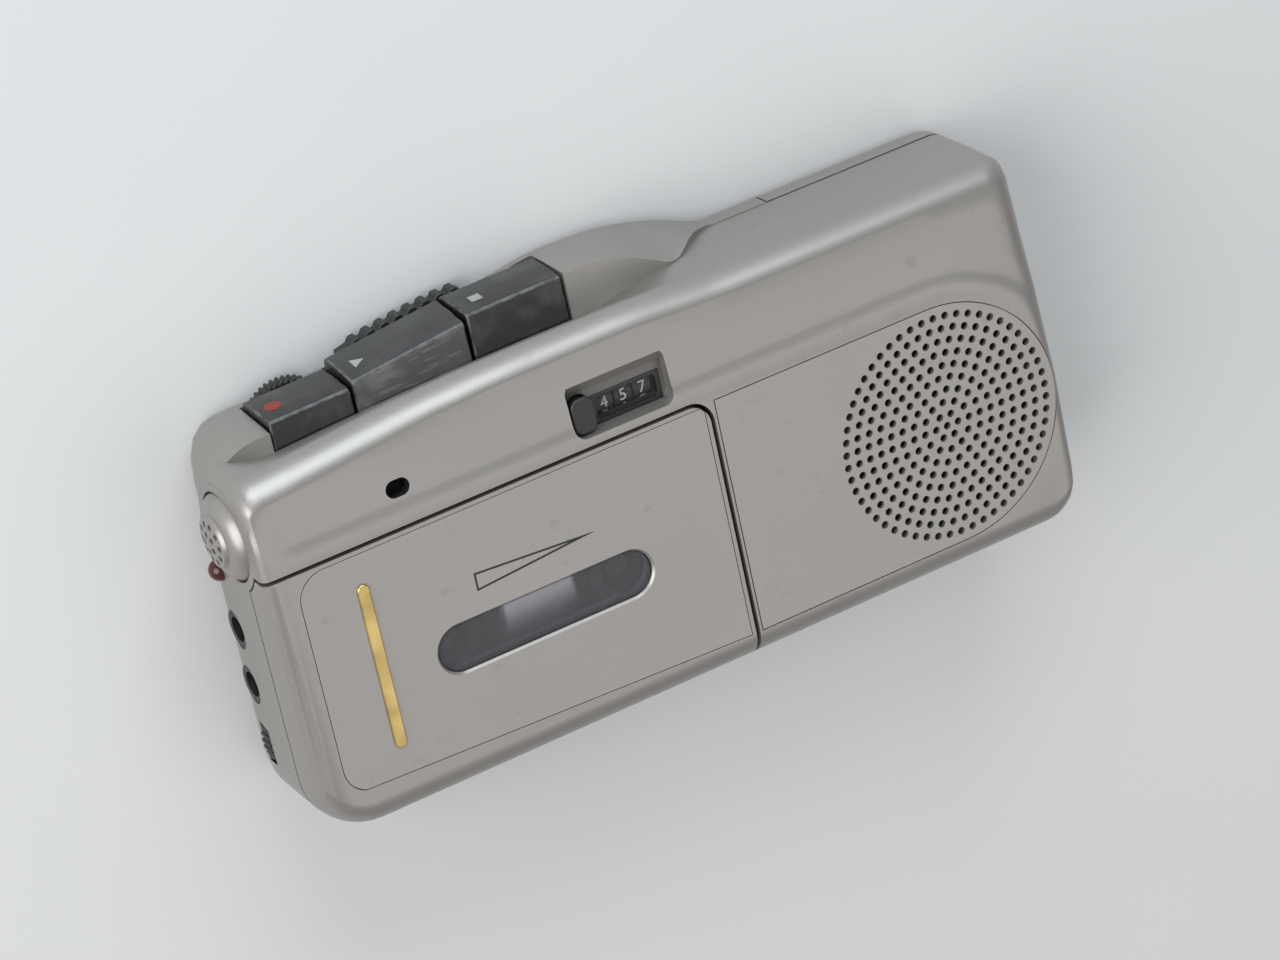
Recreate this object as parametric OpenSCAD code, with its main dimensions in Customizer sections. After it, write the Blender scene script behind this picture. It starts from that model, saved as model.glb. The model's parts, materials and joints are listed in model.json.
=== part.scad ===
// Hand-held micro tape-cassette dictation recorder, lying on its back.
// Millimetres, +Z is the front, +X the speaker end, +Y the key side.
// Origin: middle of the back face.

/* [Overall] */
// Length over the mic cap
total_l = 120; // [119:0.5:124]
// Width over the keys
total_w = 59; // [58.5:0.5:61]
// Thickness from the back to the front panel
total_h = 24; // [23.8:0.1:25.5]
// Thickness of the moulded walls
wall = 1.6; // [1.4:0.1:1.7]
// Gap between parts that move past each other
gap = 0.3; // [0.25:0.05:0.35]

/* [Case form] */
// Height of the case seam beside the keys
seam_key_z = 12.2; // [12:0.1:12.6]
// Height of the case seam at the battery cover
seam_lid_z = 5; // [4.6:0.2:5.6]
// Plan corner at the mic end, door side
corner_mic_door = 9; // [8:0.5:10]
// Plan corner at the mic end, key side
corner_mic_key = 2.5; // [2:0.5:4]
// Plan corner at the speaker end, door side
corner_end_door = 4.6; // [4:0.2:6]
// Plan corner at the speaker end, key side
corner_end_key = 2.5; // [2:0.5:4]
// How far the rounded ridge stays back from the key line
ridge_back = 6.9; // [6.5:0.1:7.3]
// How far the ridge stands out over the keys
lip_out = 2.6; // [1.8:0.1:2.8]
// How much the ridge narrows towards the mic end
ridge_taper = 1.8; // [1.2:0.2:2.2]
// Height of the soft bead around the panels
bead_h = 0.35; // [0.2:0.05:0.5]
// Width of the bead
bead_w = 5; // [4.6:0.2:5.6]
// Drop of the terrace outside the bead
terrace_drop = 0.5; // [0.3:0.1:0.7]
// Drop from the panels to the shoulder of the ridge
ridge_drop = 1.7; // [1.3:0.1:2]
// Rounding of the speaker end at the ridge
ridge_end = 4; // [3.5:0.5:5.5]

/* [Cassette door] */
// Length of the door from the mic end face
door_l = 65.4; // [65:0.2:66]
// Width left for the ridge and keys beside the door
door_back = 19.5; // [19:0.1:20]
// Depth of the door edge
door_d = 5.6; // [5.2:0.2:6]
// Wall of the door
door_wall = 1.5; // [1.4:0.1:1.6]
// Width of the seam around the door
seam_gap = 0.6; // [0.4:0.1:0.7]
// Radius of the free door corner
door_corner = 3; // [2.5:0.5:4]
// Thickness of the metal front plates
plate_t = 0.6; // [0.5:0.1:0.7]
// Length of the window slot
slot_l = 31.8; // [30:0.4:34]
// Width of the window slot
slot_w = 6.5; // [6:0.25:7]
// Radius of the hinge pins
pin_r = 0.45; // [0.4:0.05:0.5]
// Radius of the hinge knuckles
knuckle_r = 0.85; // [0.8:0.05:0.9]

/* [Speaker] */
// Rings of holes in the speaker panel
hole_rings = 9; // [6:1:9]
// Radius of a speaker hole
hole_r = 0.54; // [0.4:0.02:0.6]

/* [Keys and dials] */
// Travel of the keys
key_travel = 2.5; // [2:0.1:2.6]
// Gap between two keys
key_gap = 0.5; // [0.4:0.05:0.6]
// Width of the record key
rec_w = 11.8; // [11.4:0.1:12]
// Width of the play key
play_w = 17; // [16.6:0.1:17.2]
// Width of the stop key
stop_w = 14.1; // [13.7:0.1:14.3]
// Radius of the volume dial
volume_r = 6.2; // [5.8:0.1:6.4]
// Ridges on each dial
dial_ridges = 44; // [30:2:52]
// Ridges on the cue slider
slider_ridges = 8; // [6:1:9]
// Travel of the cue slider each way
slider_travel = 2.5; // [1.5:0.25:2.5]
// Radius of the counter wheels
counter_r = 3.3; // [3.1:0.1:3.3]
// Width of one counter wheel
counter_w = 2.6; // [2.4:0.1:2.7]

/* [Mic end] */
// Radius of the mic cap
mic_r = 6.2; // [5.9:0.1:6.4]
// How far the mic cap stands proud of the end face
mic_proud = 2.6; // [2.2:0.2:3]
// Bore radius of the plug sockets
socket_r = 1.78; // [1.7:0.02:1.86]
// Radius of the record lamp
lamp_r = 1.5; // [1.3:0.1:1.6]

/* [Tape and drive] */
// Length of the micro cassette
cas_l = 50.2; // [50:0.1:50.4]
// Thickness of the micro cassette
cas_t = 8.1; // [8:0.05:8.2]
// Half distance between the reels
reel_dx = 13; // [12.8:0.1:13.2]
// Radius of the tape on the take-up reel
take_up_r = 8.4; // [6.5:0.2:9.4]
// Radius of the tape on the supply reel
supply_r = 6; // [5.6:0.2:9.4]
// Gear module of the reel drive
gear_m = 0.5; // [0.48:0.01:0.5]
// Teeth on the capstan gear
teeth_capstan = 20; // [18:1:20]
// Teeth on the take-up gear
teeth_reel = 36; // [34:1:36]
// Radius of the flywheel
flywheel_r = 10; // [9:0.25:10]
// Radius of the capstan
capstan_r = 0.75; // [0.7:0.05:0.8]
// Radius of the pinch roller
pinch_r = 3; // [2.7:0.1:3]
// Room for a battery spring
spring_l = 1.4; // [1.2:0.1:2]
// Height of the speaker magnet
magnet_t = 1.45; // [1.2:0.05:1.8]

/* [Hidden] */
$fn = 48;
eps = 0.01;
fit = 0.05;
x_mic = -total_l / 2 + mic_proud;
x_end = total_l / 2;
y_left = -total_w / 2;
y_key = total_w / 2;
z_front = total_h;
z_inner = z_front - wall - terrace_drop;
door_x1 = x_mic + door_l;
door_w = total_w - door_back;
door_y1 = y_left + door_w;
door_z0 = z_front - door_d;
hinge_y = y_left + knuckle_r + 0.1;
hinge_z = door_z0 - 0.8;
lug_w = 3;
lug_x = [x_mic + 16.4, door_x1 - 6];
pin_l = lug_w + 5;
edge_door_y = 4.6;
edge_door_z = 6;
mic_edge_x = 4.5;
mic_edge_z = 4.5;
end_edge = 1.4;
end_span = 7;
rear_corner = 8;
side_draft = 1.6;
back_mic_x = 5.5;
back_door_r = 4;
back_key_r = 2.5;
back_end_r = 4;
form_low = 3;
form_high = z_front - 8;
speaker_x = x_end - 18.1;
panel_half = (door_w - 4.9) / 2;
speaker_y = door_y1 - panel_half - 0.2;
speaker_r = panel_half - 1.2;
hole_pitch = (panel_half - 1.06 - hole_r) / hole_rings;
panel_x0 = door_x1 + seam_gap;
hole_field_r = hole_rings * hole_pitch + hole_r;
cas_x = door_x1 - 3.5 - cas_l / 2;
cas_w = door_w - 6;
cas_y0 = y_left + 3.1;
cas_y1 = cas_y0 + cas_w;
cas_z1 = z_front - door_wall - 0.8;
cas_z0 = cas_z1 - cas_t;
cas_skin = 1;
holder_t = 0.5;
reel_y = cas_y1 - 16.6;
take_up_x = cas_x + reel_dx;
supply_x = cas_x - reel_dx;
deck_t = 1;
deck_z1 = cas_z0 - 0.8;
deck_z0 = deck_z1 - deck_t;
deck_x0 = cas_x - cas_l / 2 + 0.1;
deck_x1 = cas_x + cas_l / 2 + 0.3;
deck_y0 = cas_y0 - 0.9;
deck_y1 = cas_y1 + 5.9;
gear_t = 2;
gear_z = deck_z0 - 1.2 - gear_t;
gear_rc = gear_m * teeth_capstan / 2;
gear_rr = gear_m * teeth_reel / 2;
capstan_x = take_up_x - 3.4;
capstan_y = reel_y + sqrt(pow(gear_rc + gear_rr, 2) - 3.4 * 3.4);
board_t = 1;
board_z = wall + 0.3;
fly_z = board_z + board_t + 0.5;
fly_t = 0.577 * (gear_z - fly_z);
belt_z = fly_z + fly_t / 2;
motor_r = (reel_y - cas_y0 - 1.9) / 2;
motor_y = cas_y0 - 0.6 + motor_r;
motor_z = belt_z + 1.3;
pulley_r = 2;
carriage_z = deck_z1 + 0.15;
carriage_t = 0.4;
pinch_y = capstan_y + capstan_r + 0.15 + pinch_r + key_travel;
head_y = cas_y1 + 0.45;
key_z1 = seam_key_z - gap;
key_z0 = 3.4;
bay_z0 = key_z0 - gap;
rec_x0 = x_mic + 10.3;
play_x0 = rec_x0 + rec_w + key_gap;
stop_x0 = play_x0 + play_w + key_gap;
keys_x1 = stop_x0 + stop_w;
key_in = cas_y1 + 8.2;
dial_t = 2;
volume_x = x_mic + 16.4;
volume_z = bay_z0 - dial_t;
voice_t = 2.6;
socket_y = [y_left + 28 / 59 * total_w, y_left + 19.8 / 59 * total_w];
voice_y = y_left + 11.1 / 59 * total_w;
voice_r = socket_y[1] - voice_y - 3;
voice_x = x_mic + voice_r - 0.2;
motor_x = voice_x + voice_r + 0.4 + motor_r;
voice_z = 8.2;
axle_r = 1.5;
mic_y = y_key - 15.3;
mic_z = z_front - 9.4;
mic_seat = 4;
mic_rim = 1.2;
lamp_y = y_left + 36.6 / 59 * total_w;
lamp_z = 8.2;
socket_z = 9;
socket_l = 10;
counter_x0 = door_x1 - 14.2;
counter_y = door_y1 + 4.1;
counter_top = z_front - 3.2;
counter_z = counter_top - counter_r;
recess_z = z_front - 2.3;
recess_x0 = counter_x0 - 4.9;
recess_x1 = counter_x0 + 9.9;
recess_y0 = counter_y - 2.3;
recess_y1 = counter_y + 5.5;
frame_x0 = counter_x0 - 0.9;
frame_x1 = counter_x0 + 9.3;
frame_y0 = counter_y - 2.1;
frame_y1 = counter_y + 2.1;
reset_x = counter_x0 - 2.9;
reset_y = counter_y + 1.3;
cell_x0 = door_x1 - 1.8;
cell_r = (z_inner - 3.8 - magnet_t - 0.25 - wall - 0.3) / 2;
cell_l = x_end - wall - 0.3 - spring_l - cell_x0;
cell_z = wall + 0.3 + cell_r;
cell_y = [y_left + 2.55 + cell_r, y_left + 3.05 + 3 * cell_r];
cell_mid = (cell_y[0] + cell_y[1]) / 2;
lid_x0 = door_x1 + 23.3;
lid_tail = 15.2;
lid_fall = 10.5;
screw_at = [[motor_x - motor_r - 2.8, y_left + 4.1 / 59 * total_w], [x_mic + 8.9, y_key - 15.7], [door_x1 + 6, y_key - 12]];
screw_r = 1;
boss_r = 2.2;
slot_x = door_x1 - 28.6;
slot_y = reel_y + 0.35;

// Rounding rules
function part01(t) = max(0, min(1, t));
function smooth(t) = let (c = part01(t)) c * c * (3 - 2 * c);
function rounding(d, r, h) = d >= r ? 0 : h * (1 - sqrt(max(0, 1 - pow((r - max(d, 0)) / r, 2))));
function less(v, n) = max(v - n, 0.4);

// Edge of the front case on the key side
function key_edge(x) = y_key - ridge_back - ridge_taper * (1 - sin(90 * part01((x - x_mic) / 50)));
// Edge of the rear case on the key side: low down, and at the key seam, with a hump past the keys
function key_rise(x) = smooth((x - x_mic - 8) / 50);
function rear_low(x) = y_key - 4.6 + 4.5 * key_rise(x)
  - 0.5 * smooth((x - rec_x0) / 4) * (1 - smooth((x - keys_x1 + 6) / 6))
  - (ridge_back - side_draft - 0.2) * pow(part01((x - keys_x1 - 5) / 20), 2);
function rear_high(x) = y_key - 5.5 + 5.4 * key_rise(x)
  - (ridge_back - 0.1 - 0.7 * lip_out) * pow(part01((x - keys_x1 - 3.8) / 12.5), 1.6);
function door_edge(x, n) = y_left + n + rounding(x - x_mic - n, corner_mic_door - n, corner_mic_door - n)
  + rounding(x_end - n - x, corner_end_door - n, corner_end_door - n);
function key_round(x, n) = rounding(x - x_mic - n, less(corner_mic_key, n), less(corner_mic_key, n))
  + rounding(x_end - n - x, less(corner_end_key, n), less(corner_end_key, n));
function rear_round(x, n) = rounding(x - x_mic - n, less(rear_corner, n), less(rear_corner, n))
  + rounding(x_end - n - x, less(corner_end_key, n), less(corner_end_key, n));
// Fall of the front towards the mic end, slight beside the mic cap
function mic_share(y) = 1 - 0.75 * smooth((y - mic_y + 12) / 8);
function mic_fall(x, y, n) = let (s = mic_share(y))
  rounding(x - x_mic - n, less(mic_edge_x * s, n), less(mic_edge_z * s, n));
// Fall of the front towards both ends, growing at the speaker end from the panel to the ridge
function end_r(y) = end_edge + (ridge_end - end_edge) * part01((y - speaker_y) / 20);
function end_fall(x, y, n) = let (r = less(end_r(y), n)) rounding(x_end - n - x, r, r) + mic_fall(x, y, n);
function back_low(x, n) = n + rounding(x - x_mic - n, less(back_mic_x, n), seam_key_z - 0.6 - n)
  + rounding(x_end - n - x, less(back_end_r, n), less(back_end_r, n));
function ridge_y(x) = 4.7 - 1 * smooth((x - x_mic) / 40);
function ridge_z(x) = 5 - 0.3 * smooth((x - x_mic) / 40);
// Reach of the ridge over the seam, and the share of it that the wall has at the seam
function lip(x) = lip_out * (0.85 + 0.25 * smooth((x - x_mic) / 40) - 0.3 * smooth((x - keys_x1 - 2) / 18));
function wall_share(x) = max(smooth((x - keys_x1 - 2) / 14), 1 - smooth((x - x_mic - 1) / 8));
function shoulder(x) = ridge_drop * (0.4 + 0.6 * smooth((x - x_mic - 4) / 26));

// Distance outside the panels, used by the bead around them
function panel_out(x, y) = norm([max(0, x - speaker_x), y - speaker_y]) - panel_half;
function bead(x, y) = let (d = panel_out(x, y), c = part01(d / bead_w))
  (bead_h * pow(sin(180 * c), 2) - terrace_drop * smooth(c))
  * smooth((x - x_mic) / 6) * smooth((x_end - x) / 4);
function arc_y(x, r) = speaker_y + sqrt(max(0, r * r - pow(max(0, x - speaker_x), 2)));

// Places along the length where the form is drawn
function places(n, step, k) = let (a = corner_mic_door - n, b = end_span - n)
  concat([for (i = [0:k]) x_mic + n + a * (1 - cos(90 * i / k))],
    [for (i = [1:step]) x_mic + n + a + (x_end - x_mic - 2 * n - a - b) * i / (step + 1)],
    [for (i = [k:-1:0]) x_end - n - b * (1 - cos(90 * i / k))]);

// One section of the front half, counter-clockwise seen from the speaker end
function front_ring(x, n, fine, low) = let (
    yl = door_edge(x, n), yr = key_edge(x) - n - key_round(x, n), zt = z_front - n,
    al = edge_door_y - n, bl = edge_door_z - n, ar = ridge_y(x) - n, br = ridge_z(x) - n,
    k = fine ? 10 : 5, m = fine ? 6 : 4,
    y1 = yr + lip(x) - ar, y0 = yl + al, z1 = zt - shoulder(x) - br * sin(70), ye = y1 + ar * cos(70),
    b1 = min(ye - 0.6, arc_y(x, panel_half + bead_w)), b0 = min(b1 - 0.2, arc_y(x, panel_half)),
    zb = zt + (fine ? bead(x, b1) : -low), ze = zt - shoulder(x))
  concat([[x, yr + side_draft * wall_share(x), form_low - n], [x, yr + 0.97 * lip(x) * wall_share(x), seam_key_z - 0.4]],
    [for (i = [0:k]) let (a = 70 * i / k, y = y1 + ar * cos(a))
      [x, y, z1 + br * sin(a) - end_fall(x, y, n) * sin(a) / sin(70)]],
    [for (i = [1:3]) let (t = i / 4, y = ye + (b1 - ye) * t)
      [x, y, ze + (zb - ze) * (1.4 * t - 0.4 * t * t) - end_fall(x, y, n)]],
    fine ? [for (i = [0:9]) let (y = b1 + (b0 - b1) * i / 9) [x, y, zt + bead(x, y) - end_fall(x, y, n)]]
      : [[x, b1, zb - end_fall(x, b1, n)]],
    [for (i = [0:m]) let (a = 90 + 90 * i / m) [x, y0 + al * cos(a), zt - bl + bl * sin(a)
      - (fine ? 0 : low * sin(a)) - end_fall(x, y0, n) * sin(a)]],
    [[x, yl, form_low - n]]);

// One section of the rear half
function rear_ring(x, n, fine) = let (
    yl = door_edge(x, n), yr = rear_low(x) - n - rear_round(x, n), zb = back_low(x, n),
    lean = (rear_low(x) - rear_high(x)) / (seam_key_z - back_key_r),
    rl = back_door_r - n, rr = less(back_key_r, n), k = fine ? 6 : 3)
  concat([[x, yl, form_high + n]],
    [for (i = [0:k]) let (a = 180 + 90 * i / k) [x, yl + rl + rl * cos(a), zb + rl + rl * sin(a)]],
    [for (i = [0:k]) let (a = 270 + 90 * i / k) [x, yr - rr + rr * cos(a), zb + rr + rr * sin(a)]],
    [for (i = [1:4]) let (z = zb + rr + (form_high + n - zb - rr) * i / 4)
      [x, yr - lean * (z - zb - rr) + 0.15 * sin(45 * i), z]]);

// Skin over a row of sections
module loft(rings) {
  m = len(rings[0]);
  k = len(rings);
  points = [for (ring = rings) for (p = ring) p];
  sides = [for (i = [0:k - 2]) for (j = [0:m - 1]) let (q = (j + 1) % m)
    each [[i * m + j, (i + 1) * m + j, (i + 1) * m + q], [i * m + j, (i + 1) * m + q, i * m + q]]];
  polyhedron(points, concat([[for (j = [0:m - 1]) j]], sides,
    [[for (j = [m - 1:-1:0]) (k - 1) * m + j]]), convexity = 6);
}
module front_form() { loft([for (x = places(0, 34, 8)) front_ring(x, 0, true, 0)]); }
module front_hollow(n, low) { loft([for (x = places(n, 9, 4)) front_ring(x, n, false, low)]); }
module rear_form() { loft([for (x = places(0, 46, 7)) rear_ring(x, 0, true)]); }
module rear_hollow(n) { loft([for (x = places(n, 12, 4)) rear_ring(x, n, false)]); }

// Seam between the case halves, seen from the key side
function seam_z(x) = seam_lid_z + (seam_key_z - seam_lid_z) * (1 - smooth((x - keys_x1 - lid_tail) / lid_fall));
module under_seam(low) {
  rotate([90, 0, 0]) linear_extrude(total_w + 40, center = true)
    polygon(concat([[x_mic - 30, low], [x_mic - 30, seam_key_z]],
      [for (i = [0:12]) let (x = keys_x1 + lid_tail + lid_fall * i / 12) [x, seam_z(x)]],
      [[x_end + 30, seam_lid_z], [x_end + 30, low]]));
}

// Plan outline of the door, grown by g
module door_area(g) {
  r = door_corner + g;
  difference() {
    translate([x_mic - 10, y_left - 10])
      square([door_x1 + g - x_mic + 10, door_y1 + g - y_left + 10]);
    translate([door_x1 + g - r, door_y1 + g - r]) difference() {
      square(r + 1);
      circle(r);
    }
  }
}
module rod_x(x0, x1, y, z, r) { translate([x0, y, z]) rotate([0, 90, 0]) cylinder(r = r, h = x1 - x0); }
module box(a, b) { translate(a) cube(b - a); }
// Rectangle from the origin with round corners
module corner_area(l, w, r) {
  translate([r, 0]) square([l - 2 * r, w]);
  translate([0, r]) square([l, w - 2 * r]);
  for (x = [r, l - r]) for (y = [r, w - r]) translate([x, y]) circle(r);
}
module slot_area(l, w) {
  square([l - w, w], center = true);
  for (s = [-1, 1]) translate([s * (l - w) / 2, 0]) circle(d = w);
}

// Plan outline of the metal plate on the door
module door_plate_area(g) {
  x0 = x_mic + 4.2 - g;
  x1 = door_x1 - 0.6 + g;
  y0 = y_left + 4.7 - g;
  y1 = door_y1 - 0.6 + g;
  r = 4;
  difference() {
    polygon([[x0, y0 + 2.3], [x1, y0], [x1, y1], [x0, y1]]);
    translate([x0 + r, y1 - r]) difference() {
      translate([-r - 1, 0]) square(r + 1);
      circle(r);
    }
    translate([x0 + r, y0 + r + 1.9]) difference() {
      translate([-r - 1, -r - 1]) square(r + 1);
      circle(r);
    }
    translate([x1 - door_corner + 0.6, y1 - door_corner + 0.6]) difference() {
      square(door_corner + 1);
      circle(door_corner);
    }
  }
}

// Plan outline of the speaker panel
module speaker_plate_area(g) {
  translate([panel_x0 + 0.4 - g, speaker_y - panel_half - g])
    square([speaker_x - panel_x0 - 0.4 + g, 2 * panel_half + 2 * g]);
  translate([speaker_x, speaker_y]) circle(panel_half + g, $fn = 96);
}

// Round collar that carries the mic cap in both case halves
module mic_collar() {
  rod_x(x_mic, x_mic + mic_seat + 1.2, mic_y, mic_z, mic_r + mic_rim);
}
module mic_cut() {
  rod_x(x_mic - 8, x_mic + mic_seat, mic_y, mic_z, mic_r + 0.1);
  rod_x(x_mic - 8, x_mic + 8, mic_y, mic_z, 4.3);
}
module hinge_cut(r) {
  rod_x(x_mic + corner_mic_door - 3, door_x1 + seam_gap, hinge_y, hinge_z, r);
}

// Solid places inside the front case: counter seat and screw pillars
module front_seats() {
  box([recess_x0 - 1.2, door_y1 + seam_gap + 0.1, recess_z - 1.2], [recess_x1 + 1.2, y_key, z_front + 1]);
  for (i = [1, 2]) translate([screw_at[i][0], screw_at[i][1], seam_key_z - 4]) cylinder(r = boss_r, h = z_front);
}
// Counter recess with a ramp up to the key side
module counter_recess() {
  intersection() {
    translate([recess_x0, recess_y0, recess_z]) linear_extrude(6) corner_area(recess_x1 - recess_x0, recess_y1 - recess_y0, 1.6);
    translate([recess_x0 - 1, 0, 0]) rotate([90, 0, 90]) linear_extrude(recess_x1 - recess_x0 + 2)
      polygon([[recess_y0 - 1, recess_z], [recess_y1 - 2.2, recess_z], [recess_y1, z_front - 0.6],
        [recess_y1 + 1, z_front + 4], [recess_y0 - 1, z_front + 4]]);
  }
}
module front_case() color("silver") difference() {
  union() {
    difference() {
      front_form();
      difference() {
        front_hollow(wall, terrace_drop);
        front_seats();
      }
      difference() {
        under_seam(-20);
        for (i = [1, 2]) translate([screw_at[i][0], screw_at[i][1], seam_key_z - 4]) cylinder(r = boss_r, h = 9);
      }
      translate([0, 0, door_z0 - gap]) linear_extrude(20) door_area(seam_gap);
      box([x_mic + corner_mic_door - 3, y_left - 2, hinge_z - 0.2], [door_x1 + seam_gap, y_left + wall + 1, z_front + 2]);
    }
    rod_x(x_mic + corner_mic_door - 2, door_x1 + seam_gap + 0.5, hinge_y, hinge_z, knuckle_r);
    difference() {
      mic_collar();
      under_seam(-20);
    }
    translate([screw_at[0][0], screw_at[0][1], seam_key_z]) {
      cylinder(r = boss_r, h = 4.4);
      translate([-1.2, y_left + wall / 2 - screw_at[0][1], 0]) cube([2.4, screw_at[0][1] - y_left - wall / 2, 4.4]);
    }
  }
  mic_cut();
  translate([0, 0, z_front - plate_t]) linear_extrude(plate_t + 2) speaker_plate_area(0.05);
  translate([speaker_x, speaker_y, z_inner - 2]) {
    cylinder(r = speaker_r - 0.4, h = 6, $fn = 96);
    cylinder(r = speaker_r + fit, h = 2.01, $fn = 96);
  }
  translate([speaker_x, speaker_y, z_front - plate_t - 0.5]) cylinder(r = hole_field_r + 0.3, h = 2, $fn = 96);
  counter_recess();
  box([frame_x0 - 0.05, frame_y0 - 0.05, recess_z - 3], [frame_x1 + 0.05, frame_y1 + 0.05, recess_z + 1]);
  translate([reset_x, reset_y, recess_z - 3]) cylinder(r = 1.5 + gap, h = 4);
  translate([x_mic + 20.9, door_y1 + 5.6, z_inner - 3]) linear_extrude(8) slot_area(3.4, 2.4);
  for (s = screw_at) translate([s[0], s[1], 0]) cylinder(r = screw_r + fit, h = seam_key_z + 3.4);
  for (x = lug_x) {
    rod_x(x - gap, x + lug_w + gap, hinge_y, hinge_z, knuckle_r + gap);
    box([x - gap, hinge_y - 3, hinge_z], [x + lug_w + gap, hinge_y + 3, hinge_z + 3]);
    rod_x(x - (pin_l - lug_w) / 2 - gap, x + lug_w + (pin_l - lug_w) / 2 + gap, hinge_y, hinge_z, pin_r + fit);
  }
}

module boss(s, top) {
  translate([s[0], s[1], wall / 2]) cylinder(r = boss_r, h = top - wall / 2);
}
module rear_shell() difference() {
  union() {
    difference() {
      intersection() {
        rear_form();
        under_seam(-20);
      }
      difference() {
        rear_hollow(wall);
        box([keys_x1 + gap, key_edge(0) - 2.2, seam_key_z - 1.5], [keys_x1 + 26, y_key + 5, z_front]);
        box([x_mic, key_edge(0) - 3.2, seam_key_z - 1.5], [rec_x0 - gap, y_key + 5, z_front]);
        for (x = [play_x0 + 6, play_x0 + 13, stop_x0 + 4, stop_x0 + 11])
          box([x - 0.5, key_in + 1, 0], [x + 0.5, y_key, bay_z0]);
      }
      box([rec_x0 - gap, key_in - 2, bay_z0], [keys_x1 + gap, y_key + 5, z_front]);
    }
    intersection() {
      mic_collar();
      under_seam(-20);
    }
    boss(screw_at[0], seam_key_z);
    boss(screw_at[1], seam_key_z - 4);
    boss(screw_at[2], seam_key_z - 4);
    for (p = [[deck_x0 + 0.6, deck_y0 + 0.7], [deck_x1 - 1.6, deck_y0 + 1.7],
        [deck_x1 - 1.6, deck_y1 - 2.5], [deck_x0 + 1.3, deck_y1 - 5]])
      translate([p[0], p[1], wall / 2]) cylinder(r = 1.3, h = deck_z0 - wall / 2);
    box([cell_x0 - 0.8, y_left + wall / 2, wall / 2], [cell_x0 - 0.3, cell_y[1] + cell_r + 1.5, seam_key_z - 1.2]);
    box([cell_x0 - 0.8, cell_y[1] + cell_r + 0.5, wall / 2], [lid_x0 - 1, cell_y[1] + cell_r + 1.5, seam_lid_z]);
    translate([capstan_x, capstan_y, wall / 2]) cylinder(r = 1.4, h = board_z + 0.1 - wall / 2);
    for (x = [cas_x - 20, cas_x, cas_x + 20]) box([x - 0.5, cas_y0 + 1, wall / 2], [x + 0.5, cas_y1 + 1, board_z]);
  }
  box([lid_x0, y_left - 5, -5], [x_end + 5, y_key + 5, seam_lid_z]);
  mic_cut();
  for (y = socket_y) rod_x(x_mic - 3, x_mic + 4, y, socket_z, 2.75);
  rod_x(x_mic - 3, x_mic + 4, lamp_y, lamp_z, lamp_r + fit);
  translate([voice_x, voice_y, voice_z - gap]) cylinder(r = voice_r + gap, h = voice_t + 2 * gap);
  translate([volume_x, volume_cy(), volume_z - gap]) cylinder(r = volume_r + gap, h = dial_t + 2 * gap);
  box([slider_x0 - slider_travel - gap, slider_in - gap, slider_z0 - gap],
    [slider_x1 + slider_travel + gap, y_key + 5, slider_z1 + 2 * gap]);
  for (s = screw_at) translate([s[0], s[1], -1]) {
    cylinder(r = screw_r + fit, h = seam_key_z + 2);
    cylinder(r = 2, h = 2.2);
  }
}

module rear_case() color("silver") {
  rear_shell();
  translate([volume_x, volume_cy(), volume_z / 2]) cylinder(r = axle_r, h = volume_z / 2 + dial_t);
  translate([voice_x, voice_y, wall / 2]) cylinder(r = axle_r, h = voice_z + voice_t - wall / 2);
}

module speaker_panel() color("lightgray") difference() {
  translate([0, 0, z_front - plate_t]) linear_extrude(plate_t) speaker_plate_area(-0.1);
  translate([speaker_x, speaker_y, z_front - plate_t - 1]) {
    cylinder(r = hole_r, h = plate_t + 2, $fn = 16);
    for (k = [1:hole_rings]) for (i = [0:6 * k - 1])
      rotate([0, 0, 60 * i / k]) translate([k * hole_pitch, 0, 0]) cylinder(r = hole_r, h = plate_t + 2, $fn = 16);
  }
}

module cassette_door() color("silver") difference() {
  union() {
    difference() {
      intersection() {
        front_form();
        translate([0, 0, door_z0]) linear_extrude(20) door_area(0);
      }
      front_hollow(door_wall, 0);
      hinge_cut(knuckle_r + gap);
    }
    for (x = lug_x) {
      rod_x(x, x + lug_w, hinge_y, hinge_z, knuckle_r);
      box([x, hinge_y, hinge_z], [x + lug_w, hinge_y + 1.7, door_z0 + 1.2]);
    }
    box([door_x1 - 2.6, door_y1 - 2.1, z_front - 5], [door_x1 - 0.9, door_y1 - 1, z_front - door_wall + 0.3]);
  }
  for (x = lug_x) rod_x(x - 1, x + lug_w + 1, hinge_y, hinge_z, pin_r + eps);
  rod_x(x_mic - 8, x_mic + mic_seat + 1.2 + gap, mic_y, mic_z, mic_r + mic_rim + gap);
  translate([0, 0, z_front - plate_t]) linear_extrude(plate_t + 2) door_plate_area(0.05);
  translate([slot_x, slot_y, z_front - 6]) linear_extrude(8) slot_area(slot_l + 0.2, slot_w + 0.2);
}

module door_panel() color("lightgray") translate([0, 0, z_front - plate_t]) linear_extrude(plate_t) difference() {
  door_plate_area(-0.05);
  translate([slot_x, slot_y]) slot_area(slot_l + 0.2, slot_w + 0.2);
}

module door_window() color("dimgray") translate([slot_x, slot_y, 0]) {
  translate([0, 0, z_front - door_wall - 0.2]) linear_extrude(door_wall) slot_area(slot_l, slot_w);
  translate([0, 0, z_front - door_wall - 0.4]) linear_extrude(0.4) slot_area(slot_l + 2.4, slot_w + 2.4);
}

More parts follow.
